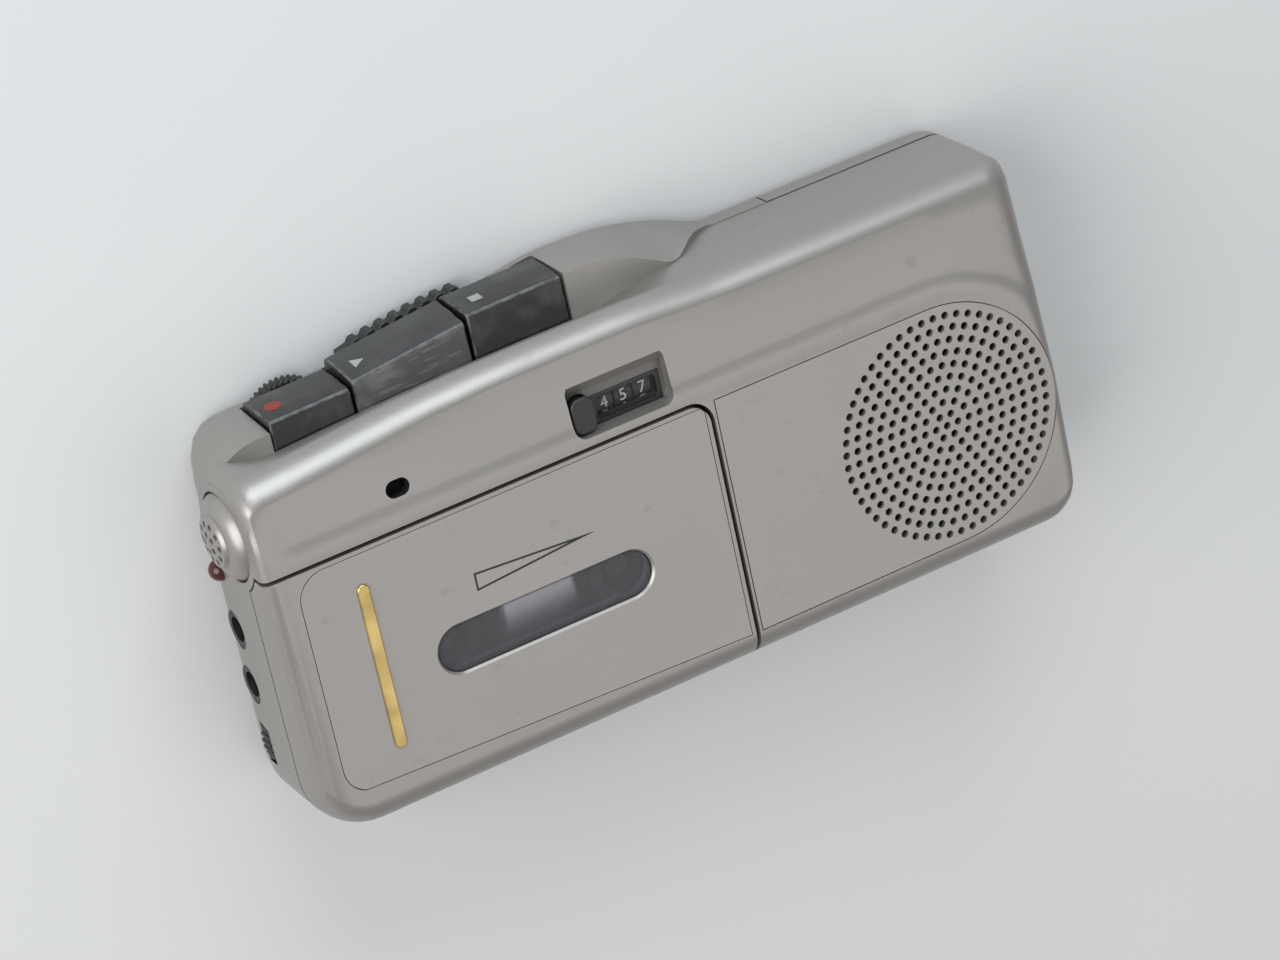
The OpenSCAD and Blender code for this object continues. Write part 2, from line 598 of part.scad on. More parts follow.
module cassette_holder() color("gray") {
  x0 = cas_x - cas_l / 2 - 0.1;
  x1 = cas_x + cas_l / 2 + 0.1;
  zt = z_front - door_wall;
  difference() {
    union() {
      box([x0 - holder_t, cas_y0 + 2.2, cas_z1 + 0.1], [x1 + holder_t, cas_y1, cas_z1 + 0.1 + holder_t]);
      for (x = [x0 - holder_t, x1]) box([x, cas_y0 + 2.2, cas_z0 - 0.6], [x + holder_t, cas_y1, cas_z1 + 0.2]);
      box([x0 - holder_t, cas_y0 + 2.2, cas_z0 - 0.6], [x0 + 1.2, cas_y1 - 1, cas_z0 - 0.1]);
      box([x1 - 1.2, cas_y0 + 2.2, cas_z0 - 0.6], [x1 + holder_t, cas_y1 - 1, cas_z0 - 0.1]);
      for (x = [x0 + 3, x1 - 9]) box([x, cas_y0 + 4, cas_z1 + 0.2], [x + 6, cas_y1 - 2, zt]);
    }
    translate([slot_x, slot_y, cas_z0]) linear_extrude(20) slot_area(slot_l + 3, slot_w + 3);
  }
}

module hinge_pins() color("gainsboro") for (x = lug_x)
  rod_x(x + lug_w / 2 - pin_l / 2, x + lug_w / 2 + pin_l / 2, hinge_y, hinge_z, pin_r);

module battery_cover() color("silver") difference() {
  union() {
    intersection() {
      difference() {
        rear_form();
        rear_hollow(wall);
      }
      box([lid_x0 + gap, y_left - 5, -5], [x_end + 5, y_key + 5, seam_lid_z - gap]);
    }
    box([lid_x0 - 5, cell_mid - 2, wall + 0.1], [lid_x0 + 3, cell_mid + 2, wall + 1]);
    box([lid_x0 + 0.5, cell_mid - 2, wall - 0.5], [lid_x0 + 3, cell_mid + 2, wall + 1]);
  }
  for (i = [0:5]) translate([lid_x0 + 7 + 2 * i, speaker_y, 0]) rotate([90, 0, 0])
    cylinder(r = 0.6, h = 14, center = true, $fn = 24);
}

module cell(y, turn) {
  translate([cell_x0 + (turn ? cell_l : 0), y, cell_z]) rotate([0, turn ? -90 : 90, 0]) {
    cylinder(r = cell_r, h = cell_l - 1.2);
    cylinder(r = 2.75, h = cell_l);
  }
}
module batteries() color("darkgoldenrod") {
  cell(cell_y[0], false);
  cell(cell_y[1], true);
}
module battery_contacts() color("gainsboro") {
  box([cell_x0 - 0.3, cell_y[0] - 5, cell_z - 5], [cell_x0, cell_y[1] + 5, cell_z + 5]);
  for (y = cell_y) box([x_end - wall - 0.3, y - 4.5, seam_lid_z + 0.6], [x_end - wall, y + 4.5, cell_z + 5]);
}
module battery_springs() color("gainsboro") for (y = cell_y)
  translate([cell_x0 + cell_l, y, cell_z]) rotate([0, 90, 0]) difference() {
    cylinder(r = 2.9, h = x_end - wall - 0.3 - cell_x0 - cell_l);
    translate([0, 0, -1]) cylinder(r = 2.3, h = 10);
  }

module circuit_board() color("darkgreen") difference() {
  box([deck_x0 + 3.1, cas_y0 + 0.6, board_z], [deck_x1 - 3.3, cas_y1 + 2, board_z + board_t]);
  translate([capstan_x, capstan_y, 0]) cylinder(r = 2, h = 9);
}

module speaker_frame() color("gray") translate([speaker_x, speaker_y, 0]) difference() {
  rotate_extrude($fn = 72) polygon([[speaker_r - 1.2, z_inner - 1.4], [speaker_r, z_inner - 1.4], [speaker_r, z_inner],
    [speaker_r - 1.8, z_inner], [speaker_r - 1.8, z_inner - 0.8], [9.5, z_inner - 3.4], [4, z_inner - 3.4],
    [4, z_inner - 3.8], [9.7, z_inner - 3.8]]);
  for (a = [45:90:315]) rotate([0, 0, a]) translate([12, 0, z_inner - 4]) cylinder(r = 1.8, h = 3.4);
}
module speaker_cone() color("dimgray") translate([speaker_x, speaker_y, 0]) rotate_extrude($fn = 72)
  let (r = speaker_r - 1.9, z = z_inner) polygon([[0, z - 2.4], [3.6, z - 2.7], [4, z - 2.9], [r - 2.1, z - 0.7],
    [r - 1.1, z - 0.4], [r, z - 0.7], [r, z - 0.5], [r - 1.1, z - 0.2], [r - 2.3, z - 0.5], [4, z - 2.6],
    [3.6, z - 2.4], [0, z - 2]]);
module speaker_magnet() color("darkslategray") translate([speaker_x, speaker_y, cell_z + cell_r + 0.25])
  cylinder(r = speaker_r / 2, h = magnet_t);

module mic_cap() color("silver") translate([x_mic, mic_y, mic_z]) rotate([0, 90, 0]) difference() {
  rotate_extrude($fn = 72) polygon(concat([[0, mic_seat], [mic_r, mic_seat]],
    [for (i = [0:8]) let (a = 90 * i / 8) [mic_r - 2 + 2 * cos(a) - 0.6 * i / 8, 0.9 - (mic_proud - 0.2) * sin(a)]],
    [[3.7, -mic_proud + 1.1], [3.4, -mic_proud + 0.6], [0, -mic_proud]]));
  for (i = [0:9]) rotate([0, 0, 36 * i]) translate([2.6, 0, -mic_proud - 1]) cylinder(r = 0.42, h = 4, $fn = 16);
  for (i = [0:4]) rotate([0, 0, 72 * i]) translate([1.2, 0, -mic_proud - 1]) cylinder(r = 0.42, h = 4, $fn = 16);
  translate([0, 0, 1.2]) cylinder(r = 4.1, h = 8);
}
module mic_capsule() color("dimgray") rod_x(x_mic + 1.3, x_mic + 6.4, mic_y, mic_z, 4);

module record_lamp() color("red") {
  rod_x(x_mic + 0.2, x_mic + 4.4, lamp_y, lamp_z, lamp_r);
  translate([x_mic + 0.2, lamp_y, lamp_z]) sphere(r = lamp_r);
}
module socket(y) {
  difference() {
    union() {
      rod_x(x_mic + 0.3, x_mic + 4.4, y, socket_z, 2.7);
      box([x_mic + 3.2, y - 2.6, socket_z - 2.8], [x_mic + socket_l, y + 2.6, socket_z + 2.7]);
    }
    rod_x(x_mic - 1, x_mic + socket_l - 0.8, y, socket_z, socket_r);
  }
}
module earphone_socket() color("black") socket(socket_y[0]);
module microphone_socket() color("black") socket(socket_y[1]);

// Thumb wheel with ridges all round
module dial(r, t, ridges) {
  difference() {
    linear_extrude(t) polygon([for (i = [0:ridges - 1]) for (q = [[0, 0], [0.18, -0.35], [0.5, -0.35], [0.68, 0]])
      let (a = 360 * (i + q[0]) / ridges) (r + q[1]) * [cos(a), sin(a)]]);
    translate([0, 0, -1]) cylinder(r = axle_r + fit, h = t + 2);
  }
}
function volume_cy() = rear_low(volume_x) + 1.4 - volume_r;
module volume_dial() color("black") translate([volume_x, volume_cy(), volume_z]) dial(volume_r, dial_t, dial_ridges);
module voice_dial() color("black") translate([voice_x, voice_y, voice_z]) dial(voice_r, voice_t, dial_ridges - 8);

module counter_frame() color("black") difference() {
  union() {
    box([frame_x0, frame_y0, recess_z - 2.4], [frame_x1, frame_y1, recess_z]);
    for (x = [frame_x0, frame_x1 - 0.6]) box([x, counter_y - 1.4, counter_z - 1.4], [x + 0.6, counter_y + 1.4, recess_z - 1]);
  }
  box([frame_x0 + 0.8, frame_y0 + 0.5, recess_z - 0.7], [frame_x1 - 0.8, frame_y1 - 0.5, recess_z + 1]);
  box([frame_x0 + 0.6, frame_y0 + 0.9, recess_z - 4], [frame_x1 - 0.6, frame_y1 - 0.9, recess_z]);
  rod_x(counter_x0 - 0.1, counter_x0 + 8.5, counter_y, counter_z, counter_r + gap);
  rod_x(frame_x0 - 1, frame_x1 + 1, counter_y, counter_z, 0.6 + eps);
}
module counter_window() color("lightblue")
  box([frame_x0 + 0.85, frame_y0 + 0.55, recess_z - 0.7], [frame_x1 - 0.85, frame_y1 - 0.55, recess_z - 0.2]);
module counter_shaft() color("gainsboro") rod_x(frame_x0 - 0.2, frame_x1 + 0.2, counter_y, counter_z, 0.6);
module counter_wheel(i) {
  x0 = counter_x0 + i * (counter_w + 0.25);
  difference() {
    rod_x(x0, x0 + counter_w, counter_y, counter_z, counter_r);
    rod_x(x0 - 1, x0 + counter_w + 1, counter_y, counter_z, 0.6 + fit);
  }
}
module counter_hundreds() color("black") counter_wheel(0);
module counter_tens() color("black") counter_wheel(1);
module counter_units() color("black") counter_wheel(2);
module reset_button() color("black") {
  translate([reset_x, reset_y, recess_z - 2]) {
    cylinder(r = 1.5, h = 3.4);
    intersection() {
      cylinder(r = 2.1, h = 0.6);
      translate([-5, -5, 0]) cube([5 + frame_x0 - gap - reset_x, 10, 2]);
    }
  }
  translate([recess_x0 + 0.35, recess_y0 + 0.35, recess_z + 1]) linear_extrude(0.7)
    corner_area(frame_x0 - gap - recess_x0 - 0.35, 5, 1.2);
}

module deck_plate() color("lightsteelblue") difference() {
  box([deck_x0, deck_y0, deck_z0], [deck_x1, deck_y1, deck_z1]);
  translate([capstan_x, capstan_y, 0]) cylinder(r = capstan_r + fit, h = 30);
  translate([take_up_x, reel_y, 0]) cylinder(r = 1.65, h = 30);
  translate([supply_x, reel_y, 0]) cylinder(r = 1.65, h = 30);
  box([cas_x - 8.2, deck_y1 - 1.8, 0], [cas_x - 0.8, deck_y1 + 2, 30]);
  box([deck_x1 - 9, deck_y1 - 1, 0], [deck_x1 + 1, deck_y1 + 2, 30]);
}
module motor() color("gainsboro") translate([motor_x, motor_y, motor_z]) {
  cylinder(r = motor_r, h = deck_z0 - motor_z);
  translate([0, 0, -0.4]) cylinder(r = 2.6, h = 1);
  translate([0, 0, -2.4]) cylinder(r = 0.5, h = 3);
}
module motor_pulley() color("goldenrod") translate([motor_x, motor_y, belt_z - 0.8]) difference() {
  rotate_extrude() polygon([[0, 0], [pulley_r + 0.4, 0], [pulley_r + 0.4, 0.2], [pulley_r, 0.3], [pulley_r, 1.3],
    [pulley_r + 0.4, 1.4], [pulley_r + 0.4, 1.6], [0, 1.6]]);
  translate([0, 0, -1]) cylinder(r = 0.5 + eps, h = 4);
}
groove_r = flywheel_r - 0.8;
belt_t = 0.6;
belt_way = [motor_x - capstan_x, motor_y - capstan_y];
belt_l = norm(belt_way);
belt_wrap = acos((groove_r - pulley_r) / belt_l);
// Line of the belt round the flywheel and the pulley, grown by g
function belt_line(g) = concat(
  [for (i = [0:36]) let (a = belt_wrap + (360 - 2 * belt_wrap) * i / 36) (groove_r + 0.1 + g) * [cos(a), sin(a)]],
  [for (i = [0:14]) let (a = -belt_wrap + 2 * belt_wrap * i / 14) [belt_l, 0] + (pulley_r + 0.1 + g) * [cos(a), sin(a)]]);
module drive_belt() color("black") translate([capstan_x, capstan_y, belt_z - fly_t * 2 / 15])
  rotate([0, 0, atan2(belt_way[1], belt_way[0])]) linear_extrude(fly_t * 4 / 15) difference() {
    polygon(belt_line(belt_t));
    polygon(belt_line(0));
  }
module gear(teeth, t, phase) {
  r = gear_m * teeth / 2;
  linear_extrude(t) polygon([for (i = [0:teeth - 1])
    for (q = [[-0.30, -1.15], [-0.13, 0.8], [0.13, 0.8], [0.30, -1.15]])
      let (a = phase + 360 * (i + q[0]) / teeth) (r + gear_m * q[1]) * [cos(a), sin(a)]]);
}
mesh_a = atan2(reel_y - capstan_y, take_up_x - capstan_x);
module flywheel() color("goldenrod") translate([capstan_x, capstan_y, 0]) {
  translate([0, 0, fly_z]) rotate_extrude($fn = 96) polygon([[0, 0], [flywheel_r, 0], [flywheel_r, fly_t * 0.3],
    [groove_r, fly_t / 3], [groove_r, fly_t * 2 / 3], [flywheel_r, fly_t * 0.7], [flywheel_r, fly_t],
    [0, fly_t]]);
  translate([0, 0, gear_z]) gear(teeth_capstan, gear_t, mesh_a);
  translate([0, 0, fly_z]) cylinder(r = 2, h = gear_z - fly_z + 1);
  translate([0, 0, board_z + 0.3]) cylinder(r = capstan_r, h = cas_z1 - cas_skin - 0.4 - board_z - 0.3);
}
module spindle() {
  translate([0, 0, gear_z]) cylinder(r = 1.6, h = cas_z0 + 1 - gear_z);
  translate([0, 0, cas_z0]) linear_extrude(5) {
    circle(1.7);
    for (a = [0, 120, 240]) rotate(a) translate([0, -0.4]) square([2, 0.8]);
  }
}
module take_up_spindle() color("white") translate([take_up_x, reel_y, 0]) {
  translate([0, 0, gear_z]) gear(teeth_reel, gear_t, mesh_a + 180 + 180 / teeth_reel);
  spindle();
}
module supply_spindle() color("white") translate([supply_x, reel_y, 0]) {
  translate([0, 0, gear_z]) cylinder(r = 2.9, h = gear_t);
  spindle();
}

module head_carriage() color("lightsteelblue") difference() {
  union() {
    box([cas_x - 12, head_y + 0.6, carriage_z], [cas_x + 12.6, key_in + 0.8, carriage_z + carriage_t]);
    box([cas_x - 7.4, key_in, carriage_z - 4], [cas_x - 1.6, key_in + 0.8, carriage_z + carriage_t]);
    translate([capstan_x, pinch_y, carriage_z]) cylinder(r = 0.8, h = recess_z - 1.5 - carriage_z);
  }
  box([cas_x - 4, head_y + 5, carriage_z - 1], [cas_x + 4, head_y + 6.2, carriage_z + 2]);
}
// Head block: nose that enters the cassette, foot that stands on the carriage
module head_block(x, w, y, d, h) {
  intersection() {
    union() {
      box([x - w / 2, y, cas_z0 + cas_skin + 0.3], [x + w / 2, y + d, cas_z0 + cas_skin + 0.3 + h]);
      box([x - w / 2, y + key_travel + 0.4, carriage_z + carriage_t], [x + w / 2, y + d, cas_z0 + cas_skin + 1]);
    }
    translate([x, y + w, 0]) cylinder(r = w, h = 2 * z_front, $fn = 64);
  }
}
module tape_head() color("gainsboro") head_block(cas_x, 6.8, head_y, 4.6, 5.3);
module erase_head() color("dimgray") head_block(cas_x - 9, 4, head_y + 0.3, 4.2, 5);
module pinch_roller() color("black") translate([capstan_x, pinch_y, cas_z0 + cas_skin + 0.3]) difference() {
  cylinder(r = pinch_r, h = 4.4);
  translate([0, 0, -1]) cylinder(r = 0.8 + fit, h = 8);
}

// Key: side profile along the slope of its front edge, cut to its plan
module key(x0, w, y_mic, y_end, flare) {
  yi = key_in + 1;
  z = (key_z0 + key_z1) / 2;
  intersection() {
    translate([x0, y_mic, 0]) rotate([0, 0, atan2(y_end - y_mic, w)]) translate([-3, 0, 0]) rotate([90, 0, 90])
      linear_extrude(w + 6) polygon([[-16, key_z0], [flare - 1, key_z0], [flare - 0.25, key_z0 + 0.3],
        [flare, key_z0 + 1], [flare * 0.6 + 0.06, z], [0, key_z1 - 0.5], [-0.15, key_z1 - 0.15], [-0.5, key_z1],
        [-16, key_z1]]);
    union() {
      box([x0, yi + 3, key_z0 - 1], [x0 + w, y_key + 6, key_z1 + 1]);
      box([x0 + w * 0.2, yi, fly_z + fly_t + 0.6], [x0 + w * 0.8, yi + 4, key_z1 + 1]);
    }
  }
}
module record_key() color("black") key(rec_x0, rec_w, y_key - 4, y_key - 3.8, 0.4);
module play_key() color("black") key(play_x0, play_w, y_key - 3.1, y_key - 1.3, 0.9);
module stop_key() color("black") key(stop_x0, stop_w, y_key - 0.5, y_key - 0.3, 0.3);

// Cue slider with ridges along its sloping top
slider_x0 = play_x0 + 2.6;
slider_x1 = slider_x0 + 1.7 + play_w;
slider_z0 = volume_z - 0.2;
slider_z1 = bay_z0;
slider_in = rear_low(slider_x0) - wall - 0.6;
function slider_top(x) = y_key - 0.3 - 2 * pow(1 - part01((x - slider_x0) / (play_w - 0.5)), 1.5);
module cue_slider() color("black") translate([0, 0, slider_z0]) linear_extrude(slider_z1 - slider_z0)
  polygon(concat([[slider_x1, slider_in], [slider_x0, slider_in], [slider_x0, slider_top(slider_x0) - 0.7]],
    [for (i = [0:slider_ridges - 1]) for (q = [[0.06, -0.6], [0.26, 0], [0.66, 0], [0.86, -0.6]])
      let (x = slider_x0 + 1.7 + (i + q[0]) * play_w / slider_ridges) [x, slider_top(x) + q[1]]],
    [[slider_x1, slider_top(slider_x1) - 0.6]]));

module door_latch() color("lightsteelblue") {
  box([deck_x1 - 2.2, deck_y1 - 4.4, carriage_z], [deck_x1 - 0.4, key_in + 0.8, carriage_z + carriage_t]);
  box([deck_x1 - 2.2, key_in, carriage_z - 4], [deck_x1 - 0.4, key_in + 0.8, carriage_z + carriage_t]);
  box([keys_x1 - 7, key_in, carriage_z - 4], [deck_x1 - 0.4, key_in + 0.8, carriage_z - 2]);
}

module cassette_shell() color("dimgray") difference() {
  translate([cas_x - cas_l / 2, cas_y0, cas_z0]) linear_extrude(cas_t) corner_area(cas_l, cas_w, 2);
  box([cas_x - cas_l / 2 + cas_skin, cas_y0 + cas_skin, cas_z0 + cas_skin],
    [cas_x + cas_l / 2 - cas_skin, cas_y1 - 5, cas_z1 - cas_skin]);
  box([cas_x - 18, cas_y1 - 6, cas_z0 + cas_skin], [cas_x + 18, cas_y1 + 1, cas_z1 - cas_skin]);
  for (s = [-1, 1]) {
    translate([cas_x + s * reel_dx, reel_y, cas_z0 - 1]) cylinder(r = 3.2, h = cas_t + 2);
    translate([cas_x + s * (reel_dx - 3.4), capstan_y, cas_z0 - 1]) cylinder(r = 1.7, h = 3);
  }
  translate([cas_x, reel_y, cas_z1 - 2]) linear_extrude(4) slot_area(2 * reel_dx, 6);
}
module hub() {
  difference() {
    translate([0, 0, cas_z0 + cas_skin + 0.3]) cylinder(r = 4.6, h = cas_t - 2 * cas_skin - 0.6);
    translate([0, 0, cas_z0]) cylinder(r = 3, h = cas_t);
  }
  for (a = [0:60:300]) rotate([0, 0, a]) translate([2.7, -0.3, cas_z0 + cas_skin + 0.3])
    cube([0.6, 0.6, cas_t - 2 * cas_skin - 0.6]);
}
module tape_pack(r) {
  translate([0, 0, cas_z0 + cas_skin + 1.1]) difference() {
    cylinder(r = r, h = cas_t - 2 * cas_skin - 2.2, $fn = 72);
    translate([0, 0, -1]) cylinder(r = 4.6 + eps, h = cas_t);
  }
}
module supply_hub() color("white") translate([supply_x, reel_y, 0]) hub();
module take_up_hub() color("white") translate([take_up_x, reel_y, 0]) hub();
module supply_tape() color("saddlebrown") translate([supply_x, reel_y, 0]) tape_pack(supply_r);
module take_up_tape() color("saddlebrown") translate([take_up_x, reel_y, 0]) tape_pack(take_up_r);

module case_screws() color("gainsboro") for (s = screw_at) translate([s[0], s[1], 0]) {
  translate([0, 0, 0.4]) cylinder(r = 1.8, h = 0.8);
  translate([0, 0, 0.4]) cylinder(r = screw_r, h = seam_key_z + 1.5);
}

front_case();
rear_case();
speaker_panel();
cassette_door();
door_panel();
door_window();
cassette_holder();
hinge_pins();
battery_cover();
batteries();
battery_contacts();
battery_springs();
circuit_board();
speaker_frame();
speaker_cone();
speaker_magnet();
mic_cap();
mic_capsule();
record_lamp();
earphone_socket();
microphone_socket();
voice_dial();
volume_dial();
counter_frame();
counter_window();
counter_shaft();
counter_units();
counter_tens();
counter_hundreds();
reset_button();
deck_plate();
motor();
motor_pulley();
drive_belt();
flywheel();
take_up_spindle();
supply_spindle();
head_carriage();
tape_head();
erase_head();
pinch_roller();
record_key();
play_key();
stop_key();
cue_slider();
door_latch();
cassette_shell();
supply_hub();
supply_tape();
take_up_hub();
take_up_tape();
case_screws();
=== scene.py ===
"""Looks of a hand-held micro tape dictation recorder, lying on its back. Metres, +Z is the front."""

import json
import math

import bmesh
import bpy
from mathutils import Matrix, Vector
from mathutils.bvhtree import BVHTree


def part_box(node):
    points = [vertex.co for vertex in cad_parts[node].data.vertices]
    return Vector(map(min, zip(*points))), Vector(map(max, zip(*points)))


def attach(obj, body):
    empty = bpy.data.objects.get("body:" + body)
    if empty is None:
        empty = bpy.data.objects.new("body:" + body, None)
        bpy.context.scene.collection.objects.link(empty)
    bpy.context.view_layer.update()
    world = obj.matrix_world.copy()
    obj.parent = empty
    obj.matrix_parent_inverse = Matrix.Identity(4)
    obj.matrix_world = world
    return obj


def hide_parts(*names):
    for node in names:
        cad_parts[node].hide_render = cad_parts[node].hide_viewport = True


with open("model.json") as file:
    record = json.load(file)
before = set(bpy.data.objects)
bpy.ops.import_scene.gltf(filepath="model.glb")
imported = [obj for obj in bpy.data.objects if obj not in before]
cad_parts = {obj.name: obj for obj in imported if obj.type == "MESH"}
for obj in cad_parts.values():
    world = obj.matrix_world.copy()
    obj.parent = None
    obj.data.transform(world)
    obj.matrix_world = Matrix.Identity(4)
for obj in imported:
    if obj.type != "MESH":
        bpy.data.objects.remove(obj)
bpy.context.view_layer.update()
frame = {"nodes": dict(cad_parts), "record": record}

MM = 0.001
BODY_OF = {node: body for body, nodes in frame["record"]["behaviour"]["bodies"].items() for node in nodes}
SLOT_OF = {row["node"]: row["material_slot"] for row in frame["record"]["subparts"]}


# Shader sums

class Sock:
    """A shader socket that can stand in a sum."""

    def __init__(self, finish, socket):
        self.finish = finish
        self.socket = socket

    def maths(self, operation, first, second):
        return self.finish.node("ShaderNodeMath", {"operation": operation}, {0: first, 1: second})

    def __add__(self, other):
        return self.maths("ADD", self, other)

    def __radd__(self, other):
        return self.maths("ADD", other, self)

    def __sub__(self, other):
        return self.maths("SUBTRACT", self, other)

    def __rsub__(self, other):
        return self.maths("SUBTRACT", other, self)

    def __mul__(self, other):
        return self.maths("MULTIPLY", self, other)

    def __rmul__(self, other):
        return self.maths("MULTIPLY", other, self)

    def over(self, low, high):
        """0 below low, 1 above high, a smooth rise between."""
        settings = {"interpolation_type": "SMOOTHSTEP"}
        return self.finish.node("ShaderNodeMapRange", settings, {0: self, 1: low, 2: high, 3: 0.0, 4: 1.0})

    def past(self, line_mm, soft_mm):
        """0 before a line and 1 past it, for a place along an axis."""
        return self.over((line_mm - soft_mm) * MM, (line_mm + soft_mm) * MM)


class Finish:
    """One material and the nodes that make it."""

    def __init__(self, name):
        self.material = bpy.data.materials.new(name)
        self.material.use_nodes = True
        self.tree = self.material.node_tree
        self.tree.nodes.clear()
        self.place = self.node("ShaderNodeTexCoord", {}, {}, "Object")

    def node(self, kind, settings, inputs, output=0):
        made = self.tree.nodes.new(kind)
        for key, value in settings.items():
            setattr(made, key, value)
        for key, value in inputs.items():
            if isinstance(value, Sock):
                self.tree.links.new(value.socket, made.inputs[key])
            else:
                made.inputs[key].default_value = value
        return Sock(self, made.outputs[output])

    def noise(self, size_mm, detail=2.0, rough=0.5, stretch=(1, 1, 1), turn=(0, 0, 0)):
        """Soft noise whose grains are about size_mm across."""
        spot = self.node("ShaderNodeMapping", {}, {"Vector": self.place, "Scale": stretch, "Rotation": turn})
        values = {"Vector": spot, "Scale": 1 / (size_mm * MM), "Detail": detail, "Roughness": rough}
        return self.node("ShaderNodeTexNoise", {}, values)

    def axis(self, number):
        """Place along one axis: 0 is the length, 1 the width, 2 the depth."""
        return self.node("ShaderNodeSeparateXYZ", {}, {0: self.place}, number)

    def mix(self, share, first, second):
        settings = {"data_type": "RGBA"}
        return self.node("ShaderNodeMix", settings, {0: share, 6: first, 7: second}, 2)

    def bump(self, height, strength, depth_mm):
        values = {"Height": height, "Strength": strength, "Distance": depth_mm * MM}
        return self.node("ShaderNodeBump", {}, values)

    def done(self, inputs):
        shader = self.node("ShaderNodeBsdfPrincipled", {}, inputs)
        out = self.tree.nodes.new("ShaderNodeOutputMaterial")
        self.tree.links.new(shader.socket, out.inputs[0])
        return self.material


def grey(value, warm=0.0):
    return (value * (1 + warm), value, value * (1 - warm), 1)


def scratches(finish, turn, size_mm=1.6, thin=34.0):
    """Fine hairline scratches that run one way."""
    line = finish.noise(size_mm, 3.0, 0.6, (1.0, thin, thin), (0, 0, turn))
    patch = finish.noise(9.0, 1.0)
    return line.over(0.66, 0.72) * patch.over(0.5, 0.62)


def silver_paint(name, value, metal, flake_mm, rough):
    """Silver paint: fine flakes, slight orange peel, hairlines and rubbed spots."""
    look = Finish(name)
    flake = look.noise(flake_mm, 1.0, 0.5)
    cloud = look.noise(22.0, 2.0)
    peel = look.noise(0.45, 2.0)
    marks = scratches(look, 0.5) + scratches(look, -0.9, 2.2)
    grime = look.noise(3.2, 3.0, 0.65).over(0.63, 0.75)
    tone = (flake - 0.5) * 0.34 + (cloud - 0.5) * 0.10 + 0.5
    base = look.mix(tone, grey(value * 0.72, 0.062), grey(value * 1.28, 0.056))
    worn = look.mix(marks * 0.5, base, grey(value * 1.5, 0.008))
    colour = look.mix(grime * 0.10, worn, grey(value * 0.5, 0.05))
    roughness = rough + (flake - 0.5) * 0.16 + grime * 0.10 - marks * 0.06
    normal = look.bump(peel * 0.6 + flake * 0.4, 0.22, 0.02)
    return look.done({"Base Color": colour, "Metallic": metal, "Roughness": roughness, "Normal": normal})


def black_plastic(name, value, rough, grain_mm, dust):
    """Moulded black plastic with a fine grain, dust specks and rubbed patches."""
    look = Finish(name)
    grain = look.noise(grain_mm, 2.0)
    specks = look.noise(0.35, 3.0, 0.7).over(0.68, 0.74)
    rubbed = look.noise(4.0, 2.0).over(0.48, 0.66)
    base = look.mix(grain, grey(value * 0.75), grey(value * 1.3))
    colour = look.mix(specks * dust, base, grey(0.22, 0.03))
    roughness = rough + (grain - 0.5) * 0.15 - rubbed * 0.10 + specks * 0.1
    normal = look.bump(grain, 0.25, 0.02)
    return look.done({"Base Color": colour, "Roughness": roughness, "Normal": normal})


# Zones of the keys in mm: heights on their faces, and the play key between its two seams
KEY_FAR_Z = 5.0
KEY_TURN_Z = 11.6
KEY_FRONT_Z = 11.9
PLAY_MIC_X = -34.8
PLAY_END_X = -17.7
SEAM_SOFT = 0.1


def worn_key(name):
    """Black key plastic, polished by fingers on top and scuffed on its front face."""
    look = Finish(name)
    fine = look.noise(0.18, 2.0)
    smear = look.noise(3.6, 3.0, 0.6, (1.0, 1.6, 1.0))
    scuff = look.noise(0.7, 4.0, 0.72, (1.0, 4.0, 4.0), (0, 0, 0.9)).over(0.50, 0.66)
    streak = look.noise(5.0, 3.0, 0.6, (1.0, 8.0, 8.0), (0, 0, -0.7)).over(0.54, 0.66)
    patch = look.noise(5.0, 2.0, 0.5).over(0.44, 0.68)
    along = look.axis(0)
    height = look.axis(2)
    front = height.over(KEY_TURN_Z * MM, KEY_FRONT_Z * MM)
    far = 1 - height.over(KEY_FAR_Z * MM, KEY_TURN_Z * MM)
    play = along.past(PLAY_MIC_X, SEAM_SOFT) * (1 - along.past(PLAY_END_X, SEAM_SOFT))
    rubbed = scuff * patch * (0.05 + front * 0.32) + front * (patch * 0.10 + 0.07)
    marks = rubbed + play * (0.10 + front * (streak * 0.50 + patch * 0.24 + 0.30))
    base = look.mix(far * 0.8 + smear * 0.2, grey(0.009, -0.04), grey(0.025, -0.04))
    colour = look.mix(marks, base, grey(0.13, 0.02))
    roughness = 0.27 + (smear - 0.5) * 0.20 + marks * 0.16
    normal = look.bump(fine * 0.6 + scuff * 0.4, 0.14, 0.02)
    polish = patch * 0.3
    return look.done({"Base Color": colour, "Roughness": roughness, "Normal": normal, "Coat Weight": polish})


def worn_edge(name):
    """Edges of the black keys, rubbed pale in places."""
    look = Finish(name)
    rub = look.noise(1.3, 3.0, 0.6).over(0.36, 0.62)
    colour = look.mix(rub, grey(0.020), grey(0.085, 0.02))
    normal = look.bump(look.noise(0.2, 2.0), 0.12, 0.02)
    return look.done({"Base Color": colour, "Roughness": 0.34 + rub * 0.14, "Normal": normal})


